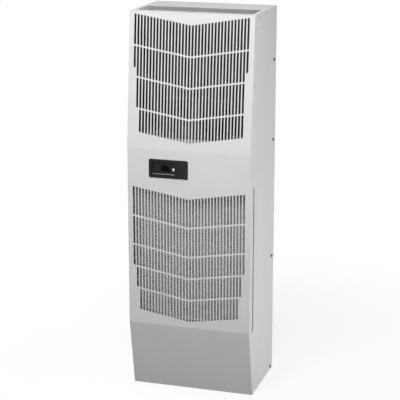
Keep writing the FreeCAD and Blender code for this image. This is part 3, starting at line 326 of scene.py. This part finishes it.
def screwZinc():
    look = {"shade": (0.36, 0.37, 0.38, 1), "light": (0.52, 0.53, 0.54, 1), "rough": 0.42, "metal": 0.45}
    plate = Finish("screwZinc")
    cloud = plate.noise(scale=420.0, detail=3.0)
    return plate.set(Base_Color=cloud.mixed(look["shade"], look["light"]), Metallic=look["metal"] - cloud * 0.2,
                     Roughness=look["rough"] + cloud * 0.2,
                     Normal=plate.noise(scale=1500.0).bump(strength=0.1, distance=0.0002))


def screwDark():
    look = {"shade": (0.060, 0.062, 0.068, 1), "light": (0.150, 0.152, 0.160, 1), "rough": 0.38, "metal": 0.55}
    plate = Finish("screwDark")
    cloud = plate.noise(scale=380.0, detail=3.0)
    return plate.set(Base_Color=cloud.mixed(look["shade"], look["light"]), Metallic=look["metal"] + cloud * 0.2,
                     Roughness=look["rough"] + cloud * 0.16,
                     Normal=plate.noise(scale=1300.0).bump(strength=0.12, distance=0.0002))


def sealRubber():
    look = {"shade": grey(0.018), "light": grey(0.034), "rough": 0.72}
    foam = Finish("sealRubber")
    pits = foam.cells(scale=900.0).between(0.0, 0.5)
    cloud = foam.noise(scale=60.0, detail=3.0)
    return foam.set(Base_Color=cloud.mixed(look["shade"], look["light"]), Roughness=look["rough"] + cloud * 0.2,
                    Normal=pits.bump(strength=0.35, distance=0.0006))


def liningFoam():
    look = {"shade": grey(0.010), "light": grey(0.030), "dust": grey(0.022, warm=0.05), "rough": 0.86}
    foam = Finish("liningFoam")
    pits = foam.cells(scale=420.0)
    cloud = foam.noise(scale=22.0, detail=4.0)
    tone = pits.between(0.1, 0.5).mixed(look["shade"], look["light"])
    tone = cloud.mixed(tone, look["dust"], share=0.4)
    return foam.set(Base_Color=tone, Roughness=look["rough"] + cloud * 0.12,
                    Normal=pits.between(0.0, 0.6).bump(strength=0.6, distance=0.0012))


def filterAluminium():  # rolled frame, brushed along its length, with mitred corners
    # the dust tone here is painted shade, laid on the frame's front face
    look = {"shade": (0.50, 0.51, 0.52, 1), "light": (0.66, 0.67, 0.68, 1), "seam": grey(0.06),
            "dust": grey(0.17, warm=0.02), "seamWide": (0.0002, 0.0007), "shadeDeep": (0.0003, 0.0018),
            "rough": 0.44, "metal": 0.28}
    metal = Finish("filterAluminium")
    grain = metal.noise(scale=40.0, detail=4.0, vector=metal.stretched(6.0, 90.0, 6.0))
    cloud = metal.noise(scale=18.0, detail=3.0)
    low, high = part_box("filter_frame")
    middle, half = (low + high) / 2, (high - low) / 2
    offX = abs(metal.along("X") - middle.x) - half.x
    offZ = abs(metal.along("Z") - middle.z) - half.z
    seam = 1 - abs(offX - offZ).between(*look["seamWide"])
    # painted shade mask: the front face and the first millimetres behind it
    front = 1 - metal.along("Y").between(*(low.y + deep for deep in look["shadeDeep"]))
    tone = (grain * 0.6 + cloud * 0.4).mixed(look["shade"], look["light"])
    tone = front.mixed(tone, look["dust"], share=0.8)  # painted shade on the frame's front face, which sits behind the cover
    tone = seam.mixed(tone, look["seam"], share=0.8)
    return metal.set(Base_Color=tone, Metallic=look["metal"] - cloud * 0.16,
                     Roughness=look["rough"] + grain * 0.18,
                     Normal=(grain - seam * 3.0).bump(strength=0.08, distance=0.0004))


def filterWire():
    look = {"shade": (0.36, 0.37, 0.38, 1), "light": (0.46, 0.47, 0.48, 1), "rough": 0.42, "metal": 0.12}
    metal = Finish("filterWire")
    cloud = metal.noise(scale=60.0, detail=3.0)
    glint = metal.noise(scale=900.0)
    tone = (cloud * 0.5 + glint * 0.5).mixed(look["shade"], look["light"])
    return metal.set(Base_Color=tone, Metallic=look["metal"] + cloud * 0.15,
                     Roughness=look["rough"] + glint * 0.2, Normal=glint.bump(strength=0.15, distance=0.0003))


def filterMedia():  # layers of crimped wire behind the front mesh
    look = {"shade": (0.37, 0.375, 0.38, 1), "light": (0.46, 0.465, 0.47, 1), "dust": (0.34, 0.335, 0.33, 1),
            "rough": 0.62, "metal": 0.15}
    pad = Finish("filterMedia")
    crimp = pad.cells(scale=230.0, feature="DISTANCE_TO_EDGE", vector=pad.stretched(1.0, 1.0, 1.6))
    strand = 1 - crimp.between(0.0, 0.16)
    under = 1 - pad.cells(scale=330.0, feature="DISTANCE_TO_EDGE").between(0.0, 0.2)
    cloud = pad.noise(scale=26.0, detail=3.0)
    tone = (strand * 0.8 + under * 0.3).mixed(look["shade"], look["light"])
    tone = cloud.between(0.45, 0.8).mixed(tone, look["dust"], share=0.3)
    return pad.set(Base_Color=tone, Metallic=strand * look["metal"], Roughness=look["rough"] - strand * 0.15,
                   Normal=(strand + under * 0.5).bump(strength=0.3, distance=0.0010))


def bezelPlastic():  # fine spark-eroded texture
    look = {"shade": grey(0.0080, warm=-0.04), "light": grey(0.0125, warm=-0.04), "rough": 0.42, "gloss": 0.14}
    shell = Finish("bezelPlastic")
    grain = shell.noise(scale=2300.0)
    tone = shell.noise(scale=40.0, detail=3.0).mixed(look["shade"], look["light"])
    return shell.set(Base_Color=tone, Roughness=look["rough"] + grain * 0.14, Specular_IOR_Level=look["gloss"],
                     Normal=grain.bump(strength=0.28, distance=0.0003))


def displayPlastic():
    look = {"shade": (0.0030, 0.0032, 0.0040, 1), "light": (0.0060, 0.0062, 0.0072, 1),
            "rough": 0.10, "gloss": 0.02}
    lens = Finish("displayPlastic")
    smear = lens.noise(scale=45.0, detail=4.0).between(0.5, 0.8)
    tone = lens.noise(scale=120.0).mixed(look["shade"], look["light"])
    return lens.set(Base_Color=tone, Roughness=look["rough"] + smear * 0.04, Specular_IOR_Level=look["gloss"])


def buttonPlastic():
    look = {"shade": grey(0.68), "light": grey(0.76), "rough": 0.32, "milky": 0.05, "milkyDeep": 0.002}
    cap = Finish("buttonPlastic")
    grain = cap.noise(scale=1700.0)
    tone = cap.noise(scale=160.0).mixed(look["shade"], look["light"])
    return cap.set(Base_Color=tone, Roughness=look["rough"] + grain * 0.1, Subsurface_Weight=look["milky"],
                   Subsurface_Scale=look["milkyDeep"], Normal=grain.bump(strength=0.08, distance=0.0002))


def ledgeHighlightPlastic():  # painted highlight: a light grey for the light caught on the ledge under the window
    look = {"shade": grey(0.30), "light": grey(0.46), "rough": 0.36, "gloss": 0.3}
    strip = Finish("ledgeHighlightPlastic")
    grain = strip.noise(scale=1500.0)
    tone = strip.noise(scale=90.0, detail=3.0).mixed(look["shade"], look["light"])
    return strip.set(Base_Color=tone, Roughness=look["rough"] + grain * 0.14, Specular_IOR_Level=look["gloss"],
                     Normal=grain.bump(strength=0.15, distance=0.0002))


def coilAluminium():
    look = {"shade": (0.40, 0.41, 0.42, 1), "light": (0.66, 0.67, 0.68, 1), "rough": 0.38, "metal": 0.85}
    metal = Finish("coilAluminium")
    cloud = metal.noise(scale=24.0, detail=4.0)
    grain = metal.noise(scale=60.0, detail=3.0, vector=metal.stretched(3.0, 60.0, 60.0))
    tone = (cloud * 0.6 + grain * 0.4).mixed(look["shade"], look["light"])
    return metal.set(Base_Color=tone, Metallic=look["metal"] - cloud * 0.2,
                     Roughness=look["rough"] + grain * 0.2, Normal=grain.bump(strength=0.1, distance=0.0004))


def fanPlastic():
    look = {"shade": grey(0.011), "light": grey(0.022), "dust": (0.07, 0.065, 0.06, 1), "rough": 0.44}
    shell = Finish("fanPlastic")
    cloud = shell.noise(scale=30.0, detail=3.0)
    tone = cloud.mixed(look["shade"], look["light"])
    tone = cloud.between(0.6, 0.85).mixed(tone, look["dust"], share=0.2)
    return shell.set(Base_Color=tone, Roughness=look["rough"] + cloud * 0.2,
                     Normal=shell.noise(scale=800.0).bump(strength=0.12, distance=0.0004))


def shaftSteel():
    look = {"shade": (0.42, 0.42, 0.43, 1), "light": (0.60, 0.60, 0.61, 1), "rough": 0.24, "metal": 1.0}
    metal = Finish("shaftSteel")
    cut = metal.noise(scale=900.0)
    cloud = metal.noise(scale=90.0, detail=3.0)
    return metal.set(Base_Color=cloud.mixed(look["shade"], look["light"]), Metallic=look["metal"] - cloud * 0.1,
                     Roughness=look["rough"] + cut * 0.16, Normal=cut.bump(strength=0.1, distance=0.0002))


def motorPaint():
    look = {"shade": grey(0.012), "light": grey(0.022), "chip": grey(0.11), "rough": 0.30}
    coat = Finish("motorPaint")
    cloud = coat.noise(scale=16.0, detail=4.0)
    chip = coat.noise(scale=130.0, detail=4.0).between(0.70, 0.76)
    tone = cloud.mixed(look["shade"], look["light"])
    tone = chip.mixed(tone, look["chip"], share=0.5)
    return coat.set(Base_Color=tone, Roughness=look["rough"] + cloud * 0.16 + chip * 0.2,
                    Normal=coat.noise(scale=420.0).bump(strength=0.2, distance=0.0005))


def copperLine():
    look = {"light": (0.70, 0.33, 0.19, 1), "shade": (0.42, 0.20, 0.12, 1), "rough": 0.26, "metal": 1.0}
    metal = Finish("copperLine")
    cloud = metal.noise(scale=28.0, detail=4.0)
    draw = metal.noise(scale=160.0, detail=3.0)
    tone = cloud.between(0.3, 0.75).mixed(look["light"], look["shade"])
    return metal.set(Base_Color=tone, Metallic=look["metal"] - cloud.between(0.6, 0.9) * 0.3,
                     Roughness=look["rough"] + draw * 0.22, Normal=draw.bump(strength=0.08, distance=0.0003))


def valveBrass():
    look = {"light": (0.66, 0.48, 0.20, 1), "shade": (0.46, 0.33, 0.14, 1), "rough": 0.26, "metal": 1.0}
    metal = Finish("valveBrass")
    cloud = metal.noise(scale=70.0, detail=4.0)
    cut = metal.noise(scale=700.0)
    tone = cloud.between(0.3, 0.75).mixed(look["light"], look["shade"])
    return metal.set(Base_Color=tone, Metallic=look["metal"] - cloud * 0.2, Roughness=look["rough"] + cut * 0.2,
                     Normal=cut.bump(strength=0.08, distance=0.0002))


def fittingPlastic():
    look = {"shade": (0.050, 0.052, 0.056, 1), "light": (0.078, 0.080, 0.084, 1), "rough": 0.42}
    shell = Finish("fittingPlastic")
    grain = shell.noise(scale=1500.0)
    tone = shell.noise(scale=50.0, detail=3.0).mixed(look["shade"], look["light"])
    return shell.set(Base_Color=tone, Roughness=look["rough"] + grain * 0.15,
                     Normal=grain.bump(strength=0.18, distance=0.0003))


finishes = {
    "cabinet_paint": cabinetPaint(),
    "galvanised_steel": galvanisedSteel("galvanisedSteel", shade=0.218, light=0.35),
    "screw_zinc": screwZinc(),
    "screw_dark": screwDark(),
    "seal_rubber": sealRubber(),
    "lining_foam": liningFoam(),
    "filter_aluminium": filterAluminium(),
    "filter_mesh": filterMedia(),
    "bezel_plastic": bezelPlastic(),
    "display_plastic": displayPlastic(),
    "button_plastic": buttonPlastic(),
    "coil_aluminium": coilAluminium(),
    "fan_plastic": fanPlastic(),
    "shaft_steel": shaftSteel(),
    "motor_paint": motorPaint(),
    "copper_line": copperLine(),
    "valve_brass": valveBrass(),
    "fitting_plastic": fittingPlastic(),
}
wireFinish = filterWire()
# painted highlight for the ledge under the window
ledgeHighlightFinish = ledgeHighlightPlastic()
shadedSteelFinish = galvanisedSteel("shadedSteel", shade=0.05, light=0.09)  # painted shade: a darker copy of the zinc finish for parts deep inside the unit
shadedSteelNodes = ("motor_bracket", "divider_wall")

# the parts in the painted shade list get the darker zinc copy
for part in frame["record"]["subparts"]:
    finish = shadedSteelFinish if part["node"] in shadedSteelNodes else finishes[part["material_slot"]]
    for holder in nodes[part["node"]].material_slots:
        holder.material = finish
print("finishes on the CAD nodes,", len(finishes))


# pieces, sizes in metres

def layFilterMesh():
    mesh = {"pitch": 0.0034, "wire": 0.0008, "tall": 1.35, "behindFace": 0.0076, "spare": 1.02}
    low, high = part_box("filter_media")
    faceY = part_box("filter_frame")[0].y + mesh["behindFace"]
    middle = Vector(((low.x + high.x) / 2, faceY, (low.z + high.z) / 2))
    across = (high - low).length * mesh["spare"]
    cells = int(across / mesh["pitch"])
    clearPicks()
    bpy.ops.mesh.primitive_grid_add(x_subdivisions=cells, y_subdivisions=cells, size=across, location=middle,
                                    rotation=(math.pi / 2, math.pi / 4, 0))
    net = settle(bpy.context.active_object, "filterMesh")
    startEdit(net)
    bpy.ops.mesh.select_all(action="SELECT")
    bpy.ops.transform.resize(value=(1.0, 1.0, mesh["tall"]), center_override=middle)
    for spot, normal in ((low, (-1, 0, 0)), (high, (1, 0, 0)), (low, (0, 0, -1)), (high, (0, 0, 1))):
        bpy.ops.mesh.select_all(action="SELECT")
        bpy.ops.mesh.bisect(plane_co=spot, plane_no=normal, clear_outer=True)
    stopEdit()
    finishWith(net, "WIREFRAME", thickness=mesh["wire"], use_even_offset=False, use_replace=True)
    dress(net, "filter", "filter_mesh", wireFinish)
    print("filter mesh,", len(net.data.polygons), "faces")


def softenFilterFrame():
    rim = {"round": 0.0008, "steps": 2}
    edge = softened("filter_frame", "filterFrame", rim)
    dress(edge, "filter", "filter_aluminium", finishes["filter_aluminium"], "filter_frame")
    print("filter frame,", len(edge.data.polygons), "faces")


def packFins(node, name, folds):
    fins = {"pitch": 0.0025, "thick": 0.0003, "wave": 0.0006}
    low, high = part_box(node)
    spread = high.x - low.x - fins["thick"] - fins["wave"]
    count = round(spread / fins["pitch"]) + 1
    fin = newBox(name, low, (low.x + fins["thick"], high.y, high.z))
    startEdit(fin)
    pick(fin, "EDGE", lambda edge: abs(edge.verts[0].co.z - edge.verts[1].co.z) > sameSpot)
    bpy.ops.mesh.subdivide(number_cuts=folds - 1)
    step = (high.z - low.z) / folds
    pick(fin, "VERT", lambda vert: round((vert.co.z - low.z) / step) % 2 == 1)
    bpy.ops.transform.translate(value=(fins["wave"], 0, 0))  # rippled like pressed fins
    stopEdit()
    finishWith(fin, "ARRAY", count=count, use_relative_offset=False, use_constant_offset=True,
               constant_offset_displace=(spread / (count - 1), 0, 0))
    dress(fin, "cabinet", "coil_aluminium", finishes["coil_aluminium"], node)
    print(name, count, "fins")


def softenSidePanel(node, name):
    panel = {"round": 0.0005, "steps": 2}
    sheet = softened(node, name, panel)
    dress(sheet, "cabinet", "cabinet_paint", finishes["cabinet_paint"], node)
    print(name, len(sheet.data.polygons), "faces")


# heights in more are those of further screws, in line with the first on both sides
coverScrew = {"hex": 0.0036, "washer": 0.0042, "washerHigh": 0.0007, "more": ()}
flangeScrew = {"hex": 0.0054, "washer": 0.0064, "washerHigh": 0.0010, "more": (0.858,)}


def makeHexScrews(node, name, slot, sizes):
    head = {"sides": 6, "land": 0.30, "slope": 0.12, "dish": 0.22, "chamfer": 0.20,  # shares of the head
            "washerSides": 36, "washerRound": 0.6, "steps": 3, "smooth": 35}
    boxes = placesOf(node)
    for height in sizes["more"]:
        for low, high in (boxes[0], boxes[-1]):
            lift = Vector((0, 0, height - (low.z + high.z) / 2))
            boxes.append((low + lift, high + lift))
    first = next(box for box in boxes if box[1].x > 0)
    seat = (first[0] + first[1]) / 2
    seat.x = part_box("side_panel_right")[1].x
    radius, top, washerTop = sizes["hex"], first[1].x, seat.x + sizes["washerHigh"]
    headHigh = top - seat.x
    cap = newDisc(name, head["sides"], radius, headHigh, seat + Vector((headHigh / 2, 0, 0)), "x")
    startEdit(cap)
    pick(cap, "FACE", lambda face: face.normal.x > facing)
    bpy.ops.mesh.inset(thickness=radius * head["land"], depth=0)
    bpy.ops.mesh.inset(thickness=radius * head["slope"], depth=-headHigh * head["dish"])
    pick(cap, "EDGE", lambda edge: liesAt(edge, "x", top)
         and all(offAxis(end.co, seat, "x") > radius * rimShare for end in edge.verts))
    bpy.ops.mesh.bevel(offset=headHigh * head["chamfer"], segments=head["steps"])
    stopEdit()
    washer = newDisc(name + "Washer", head["washerSides"], sizes["washer"], sizes["washerHigh"],
                     seat + Vector((sizes["washerHigh"] / 2, 0, 0)), "x")
    startEdit(washer)
    pick(washer, "EDGE", lambda edge: liesAt(edge, "x", washerTop))
    bpy.ops.mesh.bevel(offset=sizes["washerHigh"] * head["washerRound"], segments=head["steps"])
    stopEdit()
    model = joined([cap, washer], name)
    smoothBy(model, head["smooth"])
    copies = []
    for low, high in boxes:
        side = 1 if high.x > 0 else -1
        place = (low + high) / 2
        place.x = side * seat.x
        copies.append(copyTo(model, seat, place, side < 0))
    bpy.data.objects.remove(model)
    screws = joined(copies, name)
    dress(screws, "cabinet", slot, finishes[slot], node)
    print(name, len(copies))


def softenBezel():
    bezel = {"round": 0.0009, "steps": 3}
    plate = softened("controller_bezel", "controllerBezel", bezel)
    dress(plate, "cabinet", "bezel_plastic", finishes["bezel_plastic"], "controller_bezel")
    print("controller bezel,", len(plate.data.polygons), "faces")


# painted highlight: a thin light grey strip along the lower ledge of the window
def makeLedgeHighlight():
    highlight = {"left": -0.1292, "right": -0.0490, "low": 0.7772, "high": 0.7789, "proud": 0.0008,
            "round": 0.0003, "steps": 2}
    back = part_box("controller_body")[0].y
    front = back - highlight["proud"]
    strip = newBox("ledgeHighlight", (highlight["left"], front, highlight["low"]), (highlight["right"], back, highlight["high"]))
    startEdit(strip)
    pick(strip, "EDGE", lambda edge: liesAt(edge, "y", front))
    bpy.ops.mesh.bevel(offset=highlight["round"], segments=highlight["steps"])
    stopEdit()
    smoothBy(strip)
    dress(strip, "cabinet", "bezel_plastic", ledgeHighlightFinish)
    print("window trim")


def makeSelectButton():
    cap = {"sides": 48, "edge": 0.0009, "steps": 4, "rim": 0.0012, "dish": 0.0003,
           "slope": 0.6}  # the dish's slope as a share of the rim
    low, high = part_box("select_button")
    radius = (high.x - low.x) / 2
    button = newDisc("selectButton", cap["sides"], radius, high.y - low.y, (low + high) / 2, "y")
    startEdit(button)
    pick(button, "EDGE", lambda edge: liesAt(edge, "y", low.y))
    bpy.ops.mesh.bevel(offset=cap["edge"], segments=cap["steps"])
    pick(button, "FACE", lambda face: face.normal.y < -facing)
    bpy.ops.mesh.inset(thickness=cap["rim"], depth=0)
    bpy.ops.mesh.inset(thickness=cap["rim"] * cap["slope"], depth=-cap["dish"])  # finger dish
    stopEdit()
    smoothBy(button)
    dress(button, "button", "button_plastic", finishes["button_plastic"], "select_button")
    print("select button")


def makeDisplayLens():
    lens = {"edge": 0.0004, "steps": 3}
    low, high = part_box("display_window")
    window = newBox("displayLens", low, high)
    startEdit(window)
    pick(window, "EDGE", lambda edge: liesAt(edge, "y", low.y))
    bpy.ops.mesh.bevel(offset=lens["edge"], segments=lens["steps"])
    stopEdit()
    smoothBy(window)
    dress(window, "cabinet", "display_plastic", finishes["display_plastic"], "display_window")
    print("display lens")


def softenGasket():
    gasket = {"round": 0.0014, "steps": 4}
    foam = softened("mounting_gasket", "mountingGasket", gasket)
    dress(foam, "cabinet", "seal_rubber", finishes["seal_rubber"], "mounting_gasket")
    print("mounting gasket")


def makeGlandNut():
    nut = {"flutes": 14, "outer": 0.0100, "dip": 0.0007, "bore": 0.0056, "high": 0.0022,
           "round": 0.0004, "steps": 2, "smooth": 30}
    low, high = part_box("cable_gland")
    middle = Vector(((low.x + high.x) / 2, high.y + nut["high"] / 2, (low.z + high.z) / 2))
    corners = nut["flutes"] * 2  # a crest and a dip for each flute
    rim = nut["outer"] * rimShare

    def cornerOf(spot):
        return round(math.atan2(spot.z - middle.z, spot.x - middle.x) / math.tau * corners)

    ring = newDisc("glandNut", corners, nut["outer"], nut["high"], middle, "y")
    startEdit(ring)
    pick(ring, "FACE", lambda face: abs(face.normal.y) > facing)
    bpy.ops.mesh.inset(thickness=nut["outer"] - nut["bore"], depth=0, use_individual=True)
    bpy.ops.mesh.bridge_edge_loops()  # the cable's bore
    pick(ring, "VERT", lambda vert: offAxis(vert.co, middle, "y") > rim and cornerOf(vert.co) % 2 == 0)
    shrink = 1 - nut["dip"] / nut["outer"]
    bpy.ops.transform.resize(value=(shrink, 1, shrink), center_override=middle)  # grip flutes
    pick(ring, "EDGE", lambda edge: liesAt(edge, "y", middle.y + nut["high"] / 2)
         and all(offAxis(end.co, middle, "y") > rim for end in edge.verts))
    bpy.ops.mesh.bevel(offset=nut["round"], segments=nut["steps"])
    stopEdit()
    smoothBy(ring, nut["smooth"])
    dress(ring, "cabinet", "fitting_plastic", finishes["fitting_plastic"])
    print("gland nut,", len(ring.data.polygons), "faces")


layFilterMesh()
softenFilterFrame()
packFins("condenser_fins", "condenserFins", folds=14)
packFins("evaporator_fins", "evaporatorFins", folds=8)
softenSidePanel("side_panel_right", "sidePanelRight")
softenSidePanel("side_panel_left", "sidePanelLeft")
makeHexScrews("cover_screws", "coverScrews", "screw_zinc", coverScrew)
makeHexScrews("flange_screws", "flangeScrews", "screw_dark", flangeScrew)
softenBezel()
makeLedgeHighlight()
makeSelectButton()
makeDisplayLens()
softenGasket()
makeGlandNut()


# floor, light and camera

def seenDirectly(wire):  # 1 for what the camera, gloss or glass looks at
    looks = [wire.node("LightPath", out=f"Is {ray} Ray") for ray in ("Camera", "Glossy", "Transmission")]
    return wire.maths("MINIMUM", looks[0] + looks[1] + looks[2], 1.0)


def layFloor():
    floor = {"size": 40.0, "cells": 4, "pale": grey(0.92), "bounce": grey(0.025),
             "white": (0.80, 1.0), "fade": (0.5, 1.7)}  # glow near and far, and where it grows
    clearPicks()
    bpy.ops.mesh.primitive_grid_add(x_subdivisions=floor["cells"], y_subdivisions=floor["cells"],
                                    size=floor["size"], location=(0, 0, 0))
    ground = settle(bpy.context.active_object, "studioFloor")
    material = bpy.data.materials.new("studioFloor")
    wire = bareTree(material)
    seen = seenDirectly(wire)
    paint = wire.node("BsdfDiffuse", {}, {"Color": seen.mixed(floor["bounce"], floor["pale"])})
    glow = wire.node("Emission", {}, {"Color": grey(1.0), "Strength": 1.0})
    place = wire.node("TexCoord", out="Object")
    away = wire.node("VectorMath", {"operation": "LENGTH"}, {0: place}, "Value").between(*floor["fade"])
    near, far = floor["white"]
    white = near + away * (far - near)  # the shadow shows near the object
    shown = wire.node("MixShader", {}, {0: seen * white, 1: paint, 2: glow})
    wire.node("OutputMaterial", {}, {"Surface": shown})
    ground.data.materials.append(material)


def hangLamp(name, place, target, size, power):
    lamp = bpy.data.lights.new(name, "AREA")
    lamp.shape, lamp.size, lamp.size_y, lamp.energy = "RECTANGLE", size[0], size[1], power
    holder = bpy.data.objects.new(name, lamp)
    holder.location = place
    holder.rotation_euler = (Vector(target) - Vector(place)).to_track_quat("-Z", "Y").to_euler()
    bpy.context.scene.collection.objects.link(holder)


def openSky():
    sky = {"tint": (0.94, 0.97, 1.0, 1), "ambient": 0.01, "white": 1.0}
    world = bpy.data.worlds.new("studioSky")
    bpy.context.scene.world = world
    wire = bareTree(world)
    dim = wire.node("Background", {}, {"Color": sky["tint"], "Strength": sky["ambient"]})
    white = wire.node("Background", {}, {"Color": grey(1.0), "Strength": sky["white"]})
    shown = wire.node("MixShader", {}, {0: seenDirectly(wire), 1: dim, 2: white})
    wire.node("OutputWorld", {}, {"Surface": shown})


def placeCamera():
    view = {"place": (1.373, -4.441, 1.914), "yaw": 17.29, "pitch": 15.15,  # metres and degrees
            "lens": 124.72, "sensor": 36.0, "far": 100.0}
    camera = bpy.data.cameras.new("photoCamera")
    camera.lens, camera.sensor_width, camera.clip_end = view["lens"], view["sensor"], view["far"]
    holder = bpy.data.objects.new("photoCamera", camera)
    holder.location = view["place"]
    holder.rotation_euler = (math.radians(90 - view["pitch"]), 0, math.radians(view["yaw"]))
    bpy.context.scene.collection.objects.link(holder)
    bpy.context.scene.camera = holder


lamps = {  # place, aim, width and height in metres, power in watts
    "keyLamp": ((0.0, -1.9, 2.7), (0, 0, 0.8), (1.4, 1.4), 63.5),
    "topLamp": ((0.0, -0.7, 3.4), (0, 0, 1.3), (1.6, 1.6), 15.0),
    "frontLamp": ((0.2, -2.6, 0.62), (0, 0, 0.5), (1.6, 0.5), 17.5),
    "sideLamp": ((2.6, 0.1, 0.25), (0, 0, 0.35), (1.6, 1.0), 65.0),
    "leftLamp": ((-2.6, 0.6, 0.9), (0, 0, 0.7), (1.6, 1.6), 44.0),
    "rearLamp": ((-1.3, 2.7, 0.5), (0, 0, 0.6), (1.6, 0.9), 66.0),
}

layFloor()
for name, settings in lamps.items():
    hangLamp(name, *settings)
openSky()
placeCamera()
bpy.context.scene.view_settings.view_transform = "Standard"
print("floor,", len(lamps), "lamps and camera")
